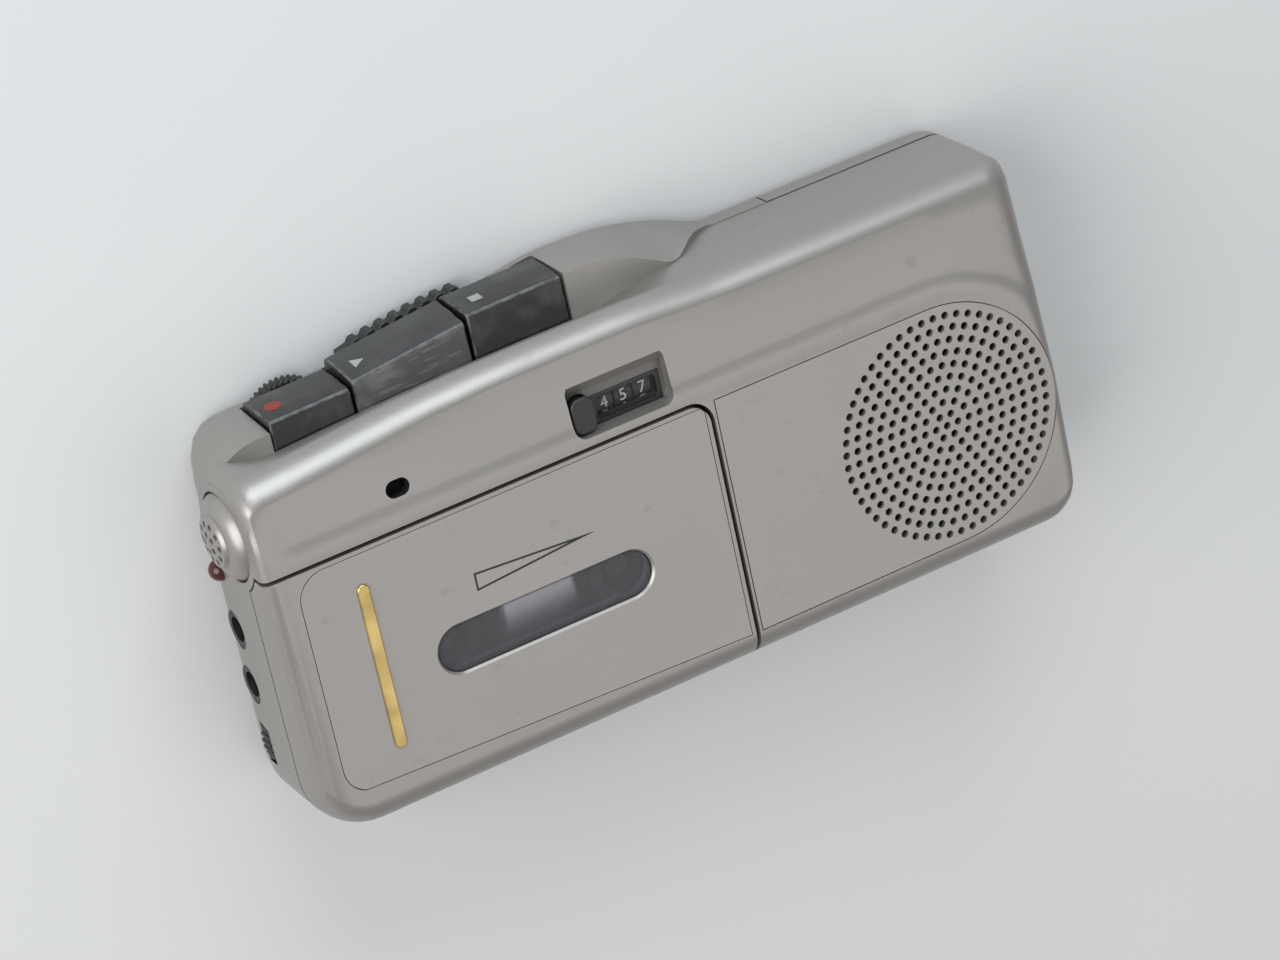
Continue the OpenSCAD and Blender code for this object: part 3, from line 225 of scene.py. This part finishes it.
def metal(name, colour, rough, line_mm):
    """Plated or machined metal with fine drawn lines and a little tarnish."""
    look = Finish(name)
    lines = look.noise(line_mm, 2.0, 0.5, (1.0, 12.0, 12.0))
    stain = look.noise(6.0, 3.0)
    low = tuple(c * 0.7 for c in colour) + (1,)
    high = tuple(min(1.0, c * 1.1) for c in colour) + (1,)
    shade = look.mix(stain.over(0.3, 0.7), low, high)
    roughness = rough + (lines - 0.5) * 0.2
    normal = look.bump(lines, 0.15, 0.01)
    return look.done({"Base Color": shade, "Metallic": 1.0, "Roughness": roughness, "Normal": normal})


def plain(name, colour, rough, grain_mm, depth=0.15, spread=0.25):
    """Small inner pieces: one colour that varies a little, with a light grain."""
    look = Finish(name)
    grain = look.noise(grain_mm, 2.0)
    cloud = look.noise(grain_mm * 14, 2.0)
    low = tuple(c * (1 - spread) for c in colour) + (1,)
    high = tuple(min(1.0, c * (1 + spread)) for c in colour) + (1,)
    shade = look.mix(grain * 0.5 + cloud * 0.5, low, high)
    normal = look.bump(grain, depth, 0.02)
    return look.done({"Base Color": shade, "Roughness": rough + (grain - 0.5) * 0.2, "Normal": normal})


def clear(name, colour, alpha, rough):
    """Clear or smoky plastic with light smears and hairlines."""
    look = Finish(name)
    smear = look.noise(5.0, 3.0)
    marks = scratches(look, 0.2, 1.2)
    shade = look.mix(marks * 0.4, colour, grey(0.5))
    veil = alpha + (smear - 0.5) * 0.10 + marks * 0.15
    return look.done({"Base Color": shade, "Roughness": rough + smear * 0.08, "Alpha": veil, "IOR": 1.49})


# Painted light on the window in mm: the lines it lies between, how soft they are and how far they bow
PALE_LIGHT_MIC_X = -26.2
PALE_LIGHT_MIC_SOFT = 0.4
PALE_LIGHT_END_X = -15.9
PALE_LIGHT_END_SOFT = 0.5
PALE_LIGHT_BOW = 1.0
# Share of the window's width where the painted light starts, and its colour
PALE_LIGHT_FADE = 0.30
PALE_LIGHT_COLOUR = (0.36, 0.36, 0.39, 1)


def smoky(name, colour, alpha, rough):
    """Smoky window plastic, with painted light: a pale sheet over the space between the reels, lighter
    towards the key side.
    """
    look = Finish(name)
    along = look.axis(0)
    across = look.axis(1)
    low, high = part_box("door_window")
    smear = look.noise(5.0, 3.0)
    marks = scratches(look, 0.2, 1.2)
    bowed = along + (smear - 0.5) * (PALE_LIGHT_BOW * MM)
    between = bowed.past(PALE_LIGHT_MIC_X, PALE_LIGHT_MIC_SOFT) * (1 - bowed.past(PALE_LIGHT_END_X, PALE_LIGHT_END_SOFT))
    painted_light = between * across.over(low.y + (high.y - low.y) * PALE_LIGHT_FADE, high.y)
    lit_colour = look.mix(painted_light, colour, PALE_LIGHT_COLOUR)
    shade = look.mix(marks * 0.4, lit_colour, grey(0.5))
    veil = alpha + (smear - 0.5) * 0.10 + marks * 0.15 + painted_light * 0.30
    return look.done({"Base Color": shade, "Roughness": rough + smear * 0.08, "Alpha": veil, "IOR": 1.49})


# Cell wrap in mm from the plus end: the pale band, the bare metal end, and how soft their edges are
BAND_LONG = 11.15
BAND_SOFT = 0.15
BARE_LONG = 2.0
BARE_SOFT = 0.1


def cell_jacket(name):
    """Battery jacket: dark wrap with a pale band at the plus end of each cell."""
    look = Finish(name)
    along = look.axis(0)
    across = look.axis(1)
    low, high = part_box("batteries")
    other = across.past((low.y + high.y) / 2 / MM, BARE_SOFT)
    from_plus = (high.x - along) * (1 - other) + (along - low.x) * other
    band = 1 - from_plus.past(BAND_LONG, BAND_SOFT)
    metal_end = 1 - from_plus.past(BARE_LONG, BARE_SOFT)
    print_grain = look.noise(0.12, 2.0)
    wrap = look.mix(print_grain, grey(0.020), grey(0.036))
    banded = look.mix(band, wrap, (0.42, 0.40, 0.34, 1))
    colour = look.mix(metal_end, banded, grey(0.55))
    normal = look.bump(print_grain, 0.08, 0.02)
    shine = metal_end * 0.5 + band * 0.5
    roughness = 0.26 + print_grain * 0.1
    return look.done({"Base Color": colour, "Metallic": shine, "Roughness": roughness, "Normal": normal})


def board_lacquer(name):
    """Green board with pale copper runs under the lacquer."""
    look = Finish(name)
    settings = {"feature": "DISTANCE_TO_EDGE"}
    spot = look.node("ShaderNodeTexVoronoi", settings, {"Vector": look.place, "Scale": 1 / (2.4 * MM)})
    runs = 1 - spot.over(0.05, 0.09)
    weave = look.noise(0.3, 2.0)
    base = look.mix(weave, (0.016, 0.075, 0.032, 1), (0.028, 0.12, 0.055, 1))
    colour = look.mix(runs * 0.7, base, (0.09, 0.24, 0.10, 1))
    normal = look.bump(runs * 0.6 + weave * 0.2, 0.3, 0.03)
    return look.done({"Base Color": colour, "Roughness": 0.3 + weave * 0.15, "Normal": normal})


# Finishes: plain takes a colour, roughness, grain in mm, bump depth and spread of the colour
SILVER = silver_paint("silver_case_paint", value=0.29, metal=0.66, flake_mm=0.11, rough=0.38)
PLATE = silver_paint("satin_plate_finish", value=0.30, metal=0.66, flake_mm=0.08, rough=0.38)
# Darker silver for the floor round the counter: painted shade
RECESS_SHADE = silver_paint("recess_painted_shade", value=0.13, metal=0.5, flake_mm=0.11, rough=0.42)
BLACK = black_plastic("black_moulding", value=0.016, rough=0.45, grain_mm=0.12, dust=0.25)
KEY = worn_key("black_key_worn")
KEY_EDGE = worn_edge("black_key_edge")
# Near black for faces no light reaches: the bare unpainted inside, partly painted shade
INSIDE_AND_SHADE = black_plastic("bare_inside_and_painted_shade", value=0.005, rough=0.6, grain_mm=0.2, dust=0.0)
STEEL = metal("bright_steel", (0.56, 0.56, 0.55), rough=0.32, line_mm=0.10)
BRASS = metal("machined_brass", (0.62, 0.46, 0.20), rough=0.30, line_mm=0.10)
GOLD = metal("gold_trim", (0.62, 0.46, 0.18), rough=0.40, line_mm=0.12)
WHITE = plain("white_moulding", (0.72, 0.72, 0.70), 0.45, 0.15)
GREY = plain("grey_moulding", (0.27, 0.27, 0.29), 0.45, 0.15)
LINER = plain("pale_liner", (0.62, 0.62, 0.64), 0.4, 0.6, 0.05, 0.06)
HUB = plain("dark_hub", (0.05, 0.05, 0.055), 0.4, 0.15)
SPINDLE = plain("aged_spindle", (0.16, 0.16, 0.155), 0.4, 0.15)
TAPE = plain("tape_edge", (0.030, 0.022, 0.018), 0.38, 0.3, 0.04, 0.12)
BOARD = board_lacquer("board_lacquer")
CONE = plain("cone_paper", (0.012, 0.012, 0.012), 0.85, 0.3, 0.5)
MAGNET = plain("ferrite", (0.04, 0.04, 0.045), 0.6, 0.2)
JACKET = cell_jacket("cell_jacket")
RUBBER = plain("rubber", (0.015, 0.015, 0.015), 0.7, 0.2)
LAMP = plain("red_lamp", (0.055, 0.010, 0.009), 0.12, 0.8, 0.02)
RED = plain("red_ink", (0.20, 0.026, 0.015), 0.55, 0.15)
INK = plain("black_ink", (0.012, 0.012, 0.012), 0.5, 0.2)
LEGEND = plain("pale_ink", (0.27, 0.27, 0.26), 0.5, 0.15)
NUMBER = plain("white_number_ink", (0.50, 0.50, 0.49), 0.5, 0.15)
# Smoky window, with painted light over its middle
SMOKY = smoky("smoky_window", (0.085, 0.084, 0.092, 1), alpha=0.40, rough=0.06)
CLEAR = clear("clear_window", (0.10, 0.10, 0.11, 1), alpha=0.08, rough=0.04)
FINISH_OF = {
    "silver_case": SILVER, "satin_plate": PLATE, "smoky_window": SMOKY, "clear_window": CLEAR, "steel": STEEL,
    "cell_jacket": JACKET, "board": BOARD, "cone_paper": CONE, "magnet": MAGNET, "black_plastic": BLACK,
    "black_key": KEY, "number_wheel": BLACK, "red_lens": LAMP, "brass": BRASS, "rubber": RUBBER,
    "white_plastic": WHITE, "grey_plastic": GREY, "tape": TAPE,
}


# Pieces

def add_piece(name, mesh, body, slot, *finishes):
    """Puts a finished mesh in the scene, on its body and with its finishes."""
    for finish in finishes:
        mesh.materials.append(finish)
    piece = bpy.data.objects.new(name, mesh)
    bpy.context.scene.collection.objects.link(piece)
    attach(piece, body)
    return piece


def mesh_of(work, name):
    mesh = bpy.data.meshes.new(name)
    work.to_mesh(mesh)
    work.free()
    return mesh


def join(whole, work):
    """Adds one finished shape to a larger one."""
    held = mesh_of(work, "held")
    whole.from_mesh(held)
    bpy.data.meshes.remove(held)


def cut_across(work, place, way):
    """Cuts the faces of a shape along a plane and keeps both sides."""
    geometry = list(work.verts) + list(work.edges) + list(work.faces)
    bmesh.ops.bisect_plane(work, geom=geometry, plane_co=place, plane_no=way)


def mark_edges(work, sharp_deg):
    """Smooth shading with crisp edges above an angle."""
    for face in work.faces:
        face.smooth = True
    for edge in work.edges:
        flat = len(edge.link_faces) == 2 and edge.calc_face_angle(0) < math.radians(sharp_deg)
        edge.smooth = flat


def soften(piece, width_mm, sharp_deg, segments=2, edge_finish=-1):
    """Small rounding on the crisp edges, and even normals on the flats."""
    bevel = piece.modifiers.new("edge_round", "BEVEL")
    bevel.width = width_mm * MM
    bevel.segments = segments
    bevel.limit_method = "ANGLE"
    bevel.angle_limit = math.radians(sharp_deg)
    bevel.profile = 0.5
    bevel.material = edge_finish
    bevel.use_clamp_overlap = True
    normals = piece.modifiers.new("even_normals", "WEIGHTED_NORMAL")
    normals.weight = 50
    normals.keep_sharp = True


# Points of a CAD node closer than this, in metres, are one point
SAME_POINT = 3e-6


def merged(node):
    """Working copy of a CAD node with its loose triangles joined."""
    work = bmesh.new()
    work.from_mesh(frame["nodes"][node].data)
    bmesh.ops.remove_doubles(work, verts=work.verts, dist=SAME_POINT)
    return work


# Where daylight reaches

STEPS = (-1, 0, 1)
SKY_WAYS = [Vector((x, y, z)).normalized() for x in STEPS for y in STEPS for z in STEPS if x or y or z]
# Least share of a normal that faces a way, most that a side wall leans, least that a level face has
FACING_SKY = 0.2
SIDE_WALL = 0.4
LEVEL_FACE = 0.9
# Where a face is tested: this share of the way to its rim, and this far off it in mm
NEAR_RIM = 0.9
TEST_LIFT = 0.04
everything = bmesh.new()
for cad_node in frame["nodes"].values():
    everything.from_mesh(cad_node.data)
WALLS = BVHTree.FromBMesh(everything)
everything.free()
COUNTER_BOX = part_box("counter_frame")
# Corners round the small slot in the front, whose walls stay bare and near black, which also paints shade
# into the slot
FRONT_SLOT = (Vector((-39, 12.5, 10)) * MM, Vector((-34, 18.5, 30)) * MM)


def is_inside(face):
    """True for a face that no daylight reaches: bare unpainted plastic, made near black there, which is
    partly painted shade.
    """
    spot = face.calc_center_median()
    low, high = FRONT_SLOT
    if all(low[i] < spot[i] < high[i] for i in range(3)) and abs(face.normal.z) < SIDE_WALL:
        return True
    ways = [way for way in SKY_WAYS if way.dot(face.normal) > FACING_SKY]
    corners = [vertex.co for vertex in face.verts]
    middles = [(first + second) / 2 for first, second in zip(corners, corners[1:] + corners[:1])]
    for start in [spot] + [spot.lerp(place, NEAR_RIM) for place in corners + middles]:
        lifted = start + face.normal * TEST_LIFT * MM
        if any(WALLS.ray_cast(lifted, way)[0] is None for way in ways):
            return False
    return True


# Window slot in mm: its chamfer and how level its rim lies; least fold of the rim in radians
SLOT_CHAMFER = 0.3
RIM_LEVEL = 0.01
RIM_FOLD = 1.0


def chamfer_slot(work, top):
    """Small chamfer on the plate round the window."""
    low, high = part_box("door_window")
    rim = []
    for edge in work.edges:
        spot = (edge.verts[0].co + edge.verts[1].co) / 2
        level = all(abs(vertex.co.z - top) < RIM_LEVEL * MM for vertex in edge.verts)
        folded = len(edge.link_faces) == 2 and edge.calc_face_angle(0) > RIM_FOLD
        if level and folded and low.x < spot.x < high.x and low.y < spot.y < high.y:
            rim.append(edge)
    bmesh.ops.bevel(work, geom=rim, offset=SLOT_CHAMFER * MM, segments=1, affect="EDGES", profile=0.5,
                    material=-1)


# Floor round the counter in mm: its reach to the ends and the key side, to the door side, and its depth
RECESS_REACH = 6
RECESS_DOOR_REACH = 3
RECESS_DEPTH = 0.1


def is_recess(face):
    """True for the floor round the counter, where a darker paint stands in for shade: painted shade."""
    low, high = COUNTER_BOX
    spot = face.calc_center_median()
    along = low.x - RECESS_REACH * MM < spot.x < high.x + RECESS_REACH * MM
    across = low.y - RECESS_DOOR_REACH * MM < spot.y < high.y + RECESS_REACH * MM
    return along and across and face.normal.z > LEVEL_FACE and abs(spot.z - high.z) < RECESS_DEPTH * MM


# Skin of the window face in mm, and the fold in degrees below which two faces become one
WINDOW_SKIN = 0.05
FLAT_DEG = 0.4


def dress(node, width_mm, sharp_deg=32, painted=False, worn=False, lined=False, sink_mm=0.0):
    """Moulded form of a CAD node: its surface merged, smoothed and rounded at the edges."""
    work = merged(node)
    low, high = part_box(node)
    if sink_mm:
        skin = [vertex for vertex in work.verts if vertex.co.z > high.z - WINDOW_SKIN * MM]
        bmesh.ops.translate(work, verts=skin, vec=(0, 0, -sink_mm * MM))
    if node == "door_panel":
        chamfer_slot(work, high.z)
    finishes = [HUB if node.endswith("_hub") else FINISH_OF[SLOT_OF[node]]]
    if painted:
        # Faces no light reaches get near-black bare plastic, partly painted shade; the floor round the
        # counter gets painted shade
        finishes.extend((INSIDE_AND_SHADE, RECESS_SHADE))
        for face in work.faces:
            face.material_index = 2 if is_recess(face) else 1 if is_inside(face) else 0
    if worn:
        finishes.append(KEY_EDGE)
    if lined:
        finishes.append(LINER)
        for face in work.faces:
            floor_face = face.normal.z > LEVEL_FACE and face.calc_center_median().z < (low.z + high.z) / 2
            face.material_index = 1 if floor_face else 0
    bmesh.ops.dissolve_limit(work, angle_limit=math.radians(FLAT_DEG), verts=work.verts, edges=work.edges,
                             delimit={"MATERIAL"})
    mark_edges(work, sharp_deg)
    piece = add_piece(node + "_form", mesh_of(work, node + "_form"), BODY_OF[node], SLOT_OF[node], *finishes)
    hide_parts(node)
    soften(piece, width_mm, sharp_deg, 3 if worn else 2, 1 if worn else -1)


# Edge rounding of each dressed node in mm
SHELLS = {"front_case": 0.18, "rear_case": 0.18, "cassette_door": 0.16, "battery_cover": 0.18}
KEYS = {"record_key": 0.26, "play_key": 0.26, "stop_key": 0.26}
SMALL = {
    "speaker_panel": 0.03, "door_panel": 0.02, "mic_cap": 0.12, "voice_dial": 0.12, "volume_dial": 0.12,
    "cue_slider": 0.14, "counter_frame": 0.10, "reset_button": 0.4, "earphone_socket": 0.15,
    "microphone_socket": 0.15, "cassette_holder": 0.1, "supply_hub": 0.1, "take_up_hub": 0.1,
}
for node_name, width in SHELLS.items():
    dress(node_name, width, painted=True)
for node_name, width in KEYS.items():
    dress(node_name, width, worn=True)
for node_name, width in SMALL.items():
    dress(node_name, width)
dress("cassette_shell", 0.2, lined=True)
dress("door_window", 0.12, sink_mm=0.25)
DRESSED = set(SHELLS) | set(KEYS) | set(SMALL) | {"case_screws", "cassette_shell", "door_window"}
for node_name, node in frame["nodes"].items():
    if node_name not in DRESSED:
        finish = SPINDLE if node_name.endswith("_spindle") else FINISH_OF[SLOT_OF[node_name]]
        node.data.materials.clear()
        node.data.materials.append(finish)


# Prints and marks

def corner_shape(count, turn_deg=0.0):
    """A flat face with this many corners, one of them along +X before the turn."""
    work = bmesh.new()
    bmesh.ops.create_circle(work, cap_ends=True, segments=count, radius=1.0)
    work.verts.ensure_lookup_table()
    first = work.verts[0].co
    turn = Matrix.Rotation(math.radians(turn_deg) - math.atan2(first.y, first.x), 4, "Z")
    bmesh.ops.rotate(work, matrix=turn, verts=work.verts)
    return work


def thicken(work, thick_mm):
    """Gives a flat shape on Z = 0 its thickness upwards."""
    bmesh.ops.recalc_face_normals(work, faces=work.faces)
    grown = bmesh.ops.extrude_face_region(work, geom=list(work.faces))
    raised = [item for item in grown["geom"] if isinstance(item, bmesh.types.BMVert)]
    bmesh.ops.translate(work, verts=raised, vec=(0, 0, thick_mm * MM))
    bmesh.ops.recalc_face_normals(work, faces=work.faces)
    return work


# Printed key marks in mm: middle to corner, and thickness
MARK_REACH = 1.15
MARK_THICK = 0.04


def mark_shape(count, turn_deg):
    """A printed key mark with this many corners."""
    work = corner_shape(count, turn_deg)
    bmesh.ops.scale(work, vec=(MARK_REACH * MM, MARK_REACH * MM, 1.0), verts=work.verts)
    return thicken(work, MARK_THICK)


def place_print(name, work, matrix, body, slot, finish):
    """Puts a print or a raised mark in its place."""
    bmesh.ops.transform(work, matrix=matrix, verts=work.verts)
    mark_edges(work, 40)
    return add_piece(name, mesh_of(work, name), body, slot, finish)


# Keys in mm: start and width along X, line of the top edge at both ends, flare of the top face
KEY_LINES = {
    "record_key": (-47.1, 11.8, 25.5, 25.7, 0.4),
    "play_key": (-34.8, 17.0, 26.4, 28.2, 0.9),
    "stop_key": (-17.3, 14.1, 29.0, 29.2, 0.3),
}
KEY_TOP_Z = 11.4
KEY_MIDDLE_Z = 7.65
LEAN_OF_FLARE = 0.6
LEAST_LEAN = 0.06
MARK_LIFT = 0.005


def key_face(node, share, z_mm):
    """Frame on the sloping top face of a key, this share along it and at this height."""
    start, width, y_mic, y_end, flare = KEY_LINES[node]
    lean = flare * LEAN_OF_FLARE + LEAST_LEAN
    along = Vector((width, y_end - y_mic, 0)).normalized()
    side = Vector((-along.y, along.x, 0))
    down = (side * lean - Vector((0, 0, KEY_TOP_Z - KEY_MIDDLE_Z))).normalized()
    out = along.cross(down).normalized()
    reach = lean * (KEY_TOP_Z - z_mm) / (KEY_TOP_Z - KEY_MIDDLE_Z)
    spot = Vector((start, y_mic, z_mm)) + along * (width * share) + side * reach
    turn = Matrix((along, out.cross(along), out)).transposed().to_4x4()
    return Matrix.Translation((spot + out * MARK_LIFT) * MM) @ turn


# Dot, triangle and square: corners, turn, share along the key, height, slot and ink
KEY_MARKS = {
    "record": (40, 0.0, 0.20, 8.3, "red_lens", RED),
    "play": (3, 0.0, 0.15, 8.5, "white_plastic", LEGEND),
    "stop": (4, 45.0, 0.22, 8.5, "white_plastic", LEGEND),
}
for key, (corners, turn_deg, share, height, slot, ink) in KEY_MARKS.items():
    mark_place = key_face(key + "_key", share, height)
    place_print(key + "_mark", mark_shape(corners, turn_deg), mark_place, key + "_key", slot, ink)

# Tape amount sign in mm: a thin outline that narrows to a point
WEDGE_TIP_X = -11.5
WEDGE_LONG = 17.9
WEDGE_WIDE = 2.6
WEDGE_Y = -1.0
WEDGE_LINE = 0.27
WEDGE_THICK = 0.03
WEDGE_LIFT = 0.002
# Length and width of a triangle whose corners lie 1 from its middle
TRIANGLE_LONG = 1.5
TRIANGLE_WIDE = math.sqrt(3)
wedge = corner_shape(3)
wedge_size = (WEDGE_LONG / TRIANGLE_LONG * MM, WEDGE_WIDE / TRIANGLE_WIDE * MM, 1.0)
bmesh.ops.scale(wedge, vec=wedge_size, verts=wedge.verts)
outline = bmesh.ops.inset_region(wedge, faces=list(wedge.faces), thickness=WEDGE_LINE * MM,
                                 use_even_offset=True, use_boundary=True)["faces"]
bmesh.ops.delete(wedge, geom=[face for face in wedge.faces if face not in outline], context="FACES_ONLY")
thicken(wedge, WEDGE_THICK)
plate_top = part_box("door_panel")[1].z
wedge_x = WEDGE_TIP_X - WEDGE_LONG / TRIANGLE_LONG
wedge_place = Matrix.Translation((wedge_x * MM, WEDGE_Y * MM, plate_top + WEDGE_LIFT * MM))
place_print("tape_sign", wedge, wedge_place, "door", "black_plastic", INK)

# Plain raised gold bar in mm
BAR_WIDE = 1.7
BAR_LONG = 24.0
BAR_HIGH = 0.5
BAR_CORNER = 0.8
BAR_X = -44.6
BAR_Y = -6.8
BAR_LIFT = 0.1
bar = bmesh.new()
bmesh.ops.create_cube(bar, size=1.0)
bmesh.ops.scale(bar, vec=(BAR_WIDE * MM, BAR_LONG * MM, BAR_HIGH * MM), verts=bar.verts)
upright = [edge for edge in bar.edges if abs((edge.verts[0].co - edge.verts[1].co).z) > BAR_HIGH * MM / 2]
bmesh.ops.bevel(bar, geom=upright, offset=BAR_CORNER * MM, segments=6, affect="EDGES", profile=0.5,
                material=-1)
bar_place = Matrix.Translation((BAR_X * MM, BAR_Y * MM, plate_top + BAR_LIFT * MM))
gold_bar = place_print("gold_bar", bar, bar_place, "door", "brass", GOLD)
soften(gold_bar, 0.15, 40)

# Numbers on the counter wheels in mm: wheel, shaft, number, and the cuts that let a number bend
WHEEL_R = 3.3
COUNTER_Y = 14.1
COUNTER_Z = 17.5
NUMBER_HIGH = 2.35
NUMBER_THICK = 0.02
NUMBER_LIFT = 0.01
CUT_STEP = 0.2
CUTS_EACH_WAY = 5
NUMBERS = 10
SHOWN = {"counter_hundreds": 4, "counter_tens": 5, "counter_units": 7}


def number_shape(number):
    """One number as a thin flat shape, cut across so that it can bend."""
    words = bpy.data.curves.new("number", "FONT")
    words.body = str(number)
    words.size = NUMBER_HIGH * MM
    words.align_x = "CENTER"
    words.align_y = "CENTER"
    words.extrude = NUMBER_THICK * MM
    words.resolution_u = 3
    holder = bpy.data.objects.new("number", words)
    bpy.context.scene.collection.objects.link(holder)
    bpy.context.view_layer.update()
    drawn = bpy.data.meshes.new_from_object(holder.evaluated_get(bpy.context.evaluated_depsgraph_get()))
    bpy.data.objects.remove(holder)
    work = bmesh.new()
    work.from_mesh(drawn)
    bpy.data.meshes.remove(drawn)
    for cut in range(-CUTS_EACH_WAY, CUTS_EACH_WAY + 1):
        cut_across(work, (0, cut * CUT_STEP * MM, 0), (0, 1, 0))
    return work


def bend_round_wheel(work, middle_x, turn):
    """Bends a flat number round its wheel, turned away from the front."""
    for vertex in work.verts:
        angle = vertex.co.y / (WHEEL_R * MM) - turn
        reach = (WHEEL_R + NUMBER_LIFT) * MM + vertex.co.z
        vertex.co = Vector((vertex.co.x + middle_x, COUNTER_Y * MM + reach * math.sin(angle),
                            COUNTER_Z * MM + reach * math.cos(angle)))


for wheel, shown in SHOWN.items():
    low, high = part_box(wheel)
    numbers = bmesh.new()
    for step in range(NUMBERS):
        one = number_shape((shown + step) % NUMBERS)
        bend_round_wheel(one, (low.x + high.x) / 2, step * math.tau / NUMBERS)
        join(numbers, one)
    bmesh.ops.recalc_face_normals(numbers, faces=numbers.faces)
    add_piece(wheel + "_numbers", mesh_of(numbers, wheel + "_numbers"), wheel, "white_plastic", NUMBER)


# Case screws in mm: head, shank, cross recess in the head, and the room round one screw
HEAD_R = 1.8
HEAD_HIGH = 0.8
HEAD_MIDDLE_Z = 0.8
SHANK_R = 1.0
SHANK_TIP_R = 0.9
SHANK_LONG = 12.6
SHANK_MIDDLE_Z = 7.55
CROSS_ARM = 0.28
CROSS_REACH = 1.05
CROSS_DEEP = 0.5
CROSS_TAPER = 0.75
SCREW_ROOM = 5


def screw(middle_x, middle_y):
    """One flat-headed screw, its head towards the back of the case."""
    work = bmesh.new()
    bmesh.ops.create_cone(work, cap_ends=True, segments=40, radius1=HEAD_R * MM, radius2=HEAD_R * MM,
                          depth=HEAD_HIGH * MM, matrix=Matrix.Translation((0, 0, HEAD_MIDDLE_Z * MM)))
    for offset in (-CROSS_REACH, -CROSS_ARM, CROSS_ARM, CROSS_REACH):
        for way in (Vector((1, 0, 0)), Vector((0, 1, 0))):
            cut_across(work, way * offset * MM, way)
    cross = []
    for face in work.faces:
        spot = face.calc_center_median() / MM
        near, far = sorted((abs(spot.x), abs(spot.y)))
        if face.normal.z < -LEVEL_FACE and near < CROSS_ARM and far < CROSS_REACH:
            cross.append(face)
    sunk = bmesh.ops.extrude_face_region(work, geom=cross)
    bmesh.ops.delete(work, geom=cross, context="FACES_ONLY")
    deep = [item for item in sunk["geom"] if isinstance(item, bmesh.types.BMVert)]
    bmesh.ops.translate(work, verts=deep, vec=(0, 0, CROSS_DEEP * MM))
    bmesh.ops.scale(work, vec=(CROSS_TAPER, CROSS_TAPER, 1.0), verts=deep)
    bmesh.ops.create_cone(work, cap_ends=True, segments=24, radius1=SHANK_R * MM, radius2=SHANK_TIP_R * MM,
                          depth=SHANK_LONG * MM, matrix=Matrix.Translation((0, 0, SHANK_MIDDLE_Z * MM)))
    bmesh.ops.translate(work, verts=work.verts, vec=(middle_x, middle_y, 0))
    return work


screws = bmesh.new()
screw_points = [vertex.co.copy() for vertex in frame["nodes"]["case_screws"].data.vertices]
spots = []
for point in screw_points:
    if not any((point.xy - spot).length < SCREW_ROOM * MM for spot in spots):
        spots.append(point.xy)
for spot in spots:
    group = [point for point in screw_points if (point.xy - spot).length < SCREW_ROOM * MM]
    middle_x = (min(point.x for point in group) + max(point.x for point in group)) / 2
    middle_y = (min(point.y for point in group) + max(point.y for point in group)) / 2
    join(screws, screw(middle_x, middle_y))
mark_edges(screws, 35)
screw_piece = add_piece("case_screws_form", mesh_of(screws, "case_screws_form"), "case", "steel", STEEL)
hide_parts("case_screws")
soften(screw_piece, 0.08, 35)


# Floor, light and camera

FLOOR_VALUE = 0.61
FLOOR_HALF = 4.0
FLOOR_GAP = 0.2


def floor_finish(name, value):
    """Pale matt floor."""
    look = Finish(name)
    cloud = look.noise(60.0, 2.0)
    colour = look.mix(cloud, grey(value * 0.98), grey(value * 1.02))
    return look.done({"Base Color": colour, "Roughness": 0.7})


floor_work = bmesh.new()
bmesh.ops.create_grid(floor_work, x_segments=2, y_segments=2, size=FLOOR_HALF)
floor = bpy.data.objects.new("floor", mesh_of(floor_work, "floor"))
floor.data.materials.append(floor_finish("pale_floor", FLOOR_VALUE))
floor.location = (0, 0, -FLOOR_GAP * MM)
bpy.context.scene.collection.objects.link(floor)


def soft_lamp(name, place, aim, size, watts, tint=(1, 1, 1)):
    """A round soft lamp that looks at a point."""
    light = bpy.data.lights.new(name, "AREA")
    light.shape = "DISK"
    light.size = size
    light.energy = watts
    light.color = tint
    lamp = bpy.data.objects.new(name, light)
    lamp.location = place
    lamp.rotation_euler = (Vector(aim) - Vector(place)).to_track_quat("-Z", "Y").to_euler()
    bpy.context.scene.collection.objects.link(lamp)


MIDDLE = (0, 0, 0.01)
KEY_AIM = (-0.01, 0, 0.01)
COOL = (0.84, 0.94, 1.0)
soft_lamp("key_light", place=(0.00, 0.62, 0.22), aim=KEY_AIM, size=0.56, watts=3.4, tint=COOL)
soft_lamp("mic_end_fill", place=(-1.00, 0.24, 0.62), aim=MIDDLE, size=1.2, watts=14.0)
soft_lamp("front_fill", place=(0.40, -0.40, 1.05), aim=MIDDLE, size=1.1, watts=2.6)

ROOM_COLOUR = (0.86, 0.87, 0.88, 1)
ROOM_STRENGTH = 0.46
world = bpy.data.worlds.new("studio")
world.use_nodes = True
world.node_tree.nodes["Background"].inputs["Color"].default_value = ROOM_COLOUR
world.node_tree.nodes["Background"].inputs["Strength"].default_value = ROOM_STRENGTH
bpy.context.scene.world = world

# Camera place, aim and upward way in metres, from the fit to the recorder's outline
CAMERA_PLACE = Vector((-0.25326, 0.30331, 0.59851))
CAMERA_AIM = Vector((0.0015, -0.003, 0.012))
CAMERA_UP = Vector((0.37460, 0.87136, -0.31686))
lens = bpy.data.cameras.new("photo_camera")
lens.sensor_width = 36.0
lens.lens = 150.0
lens.clip_start = 0.01
camera = bpy.data.objects.new("photo_camera", lens)
back = (CAMERA_PLACE - CAMERA_AIM).normalized()
right = CAMERA_UP.cross(back).normalized()
turn = Matrix((right, back.cross(right), back)).transposed().to_4x4()
camera.matrix_world = Matrix.Translation(CAMERA_PLACE) @ turn
bpy.context.scene.collection.objects.link(camera)
bpy.context.scene.camera = camera
bpy.context.scene.view_settings.view_transform = "Standard"
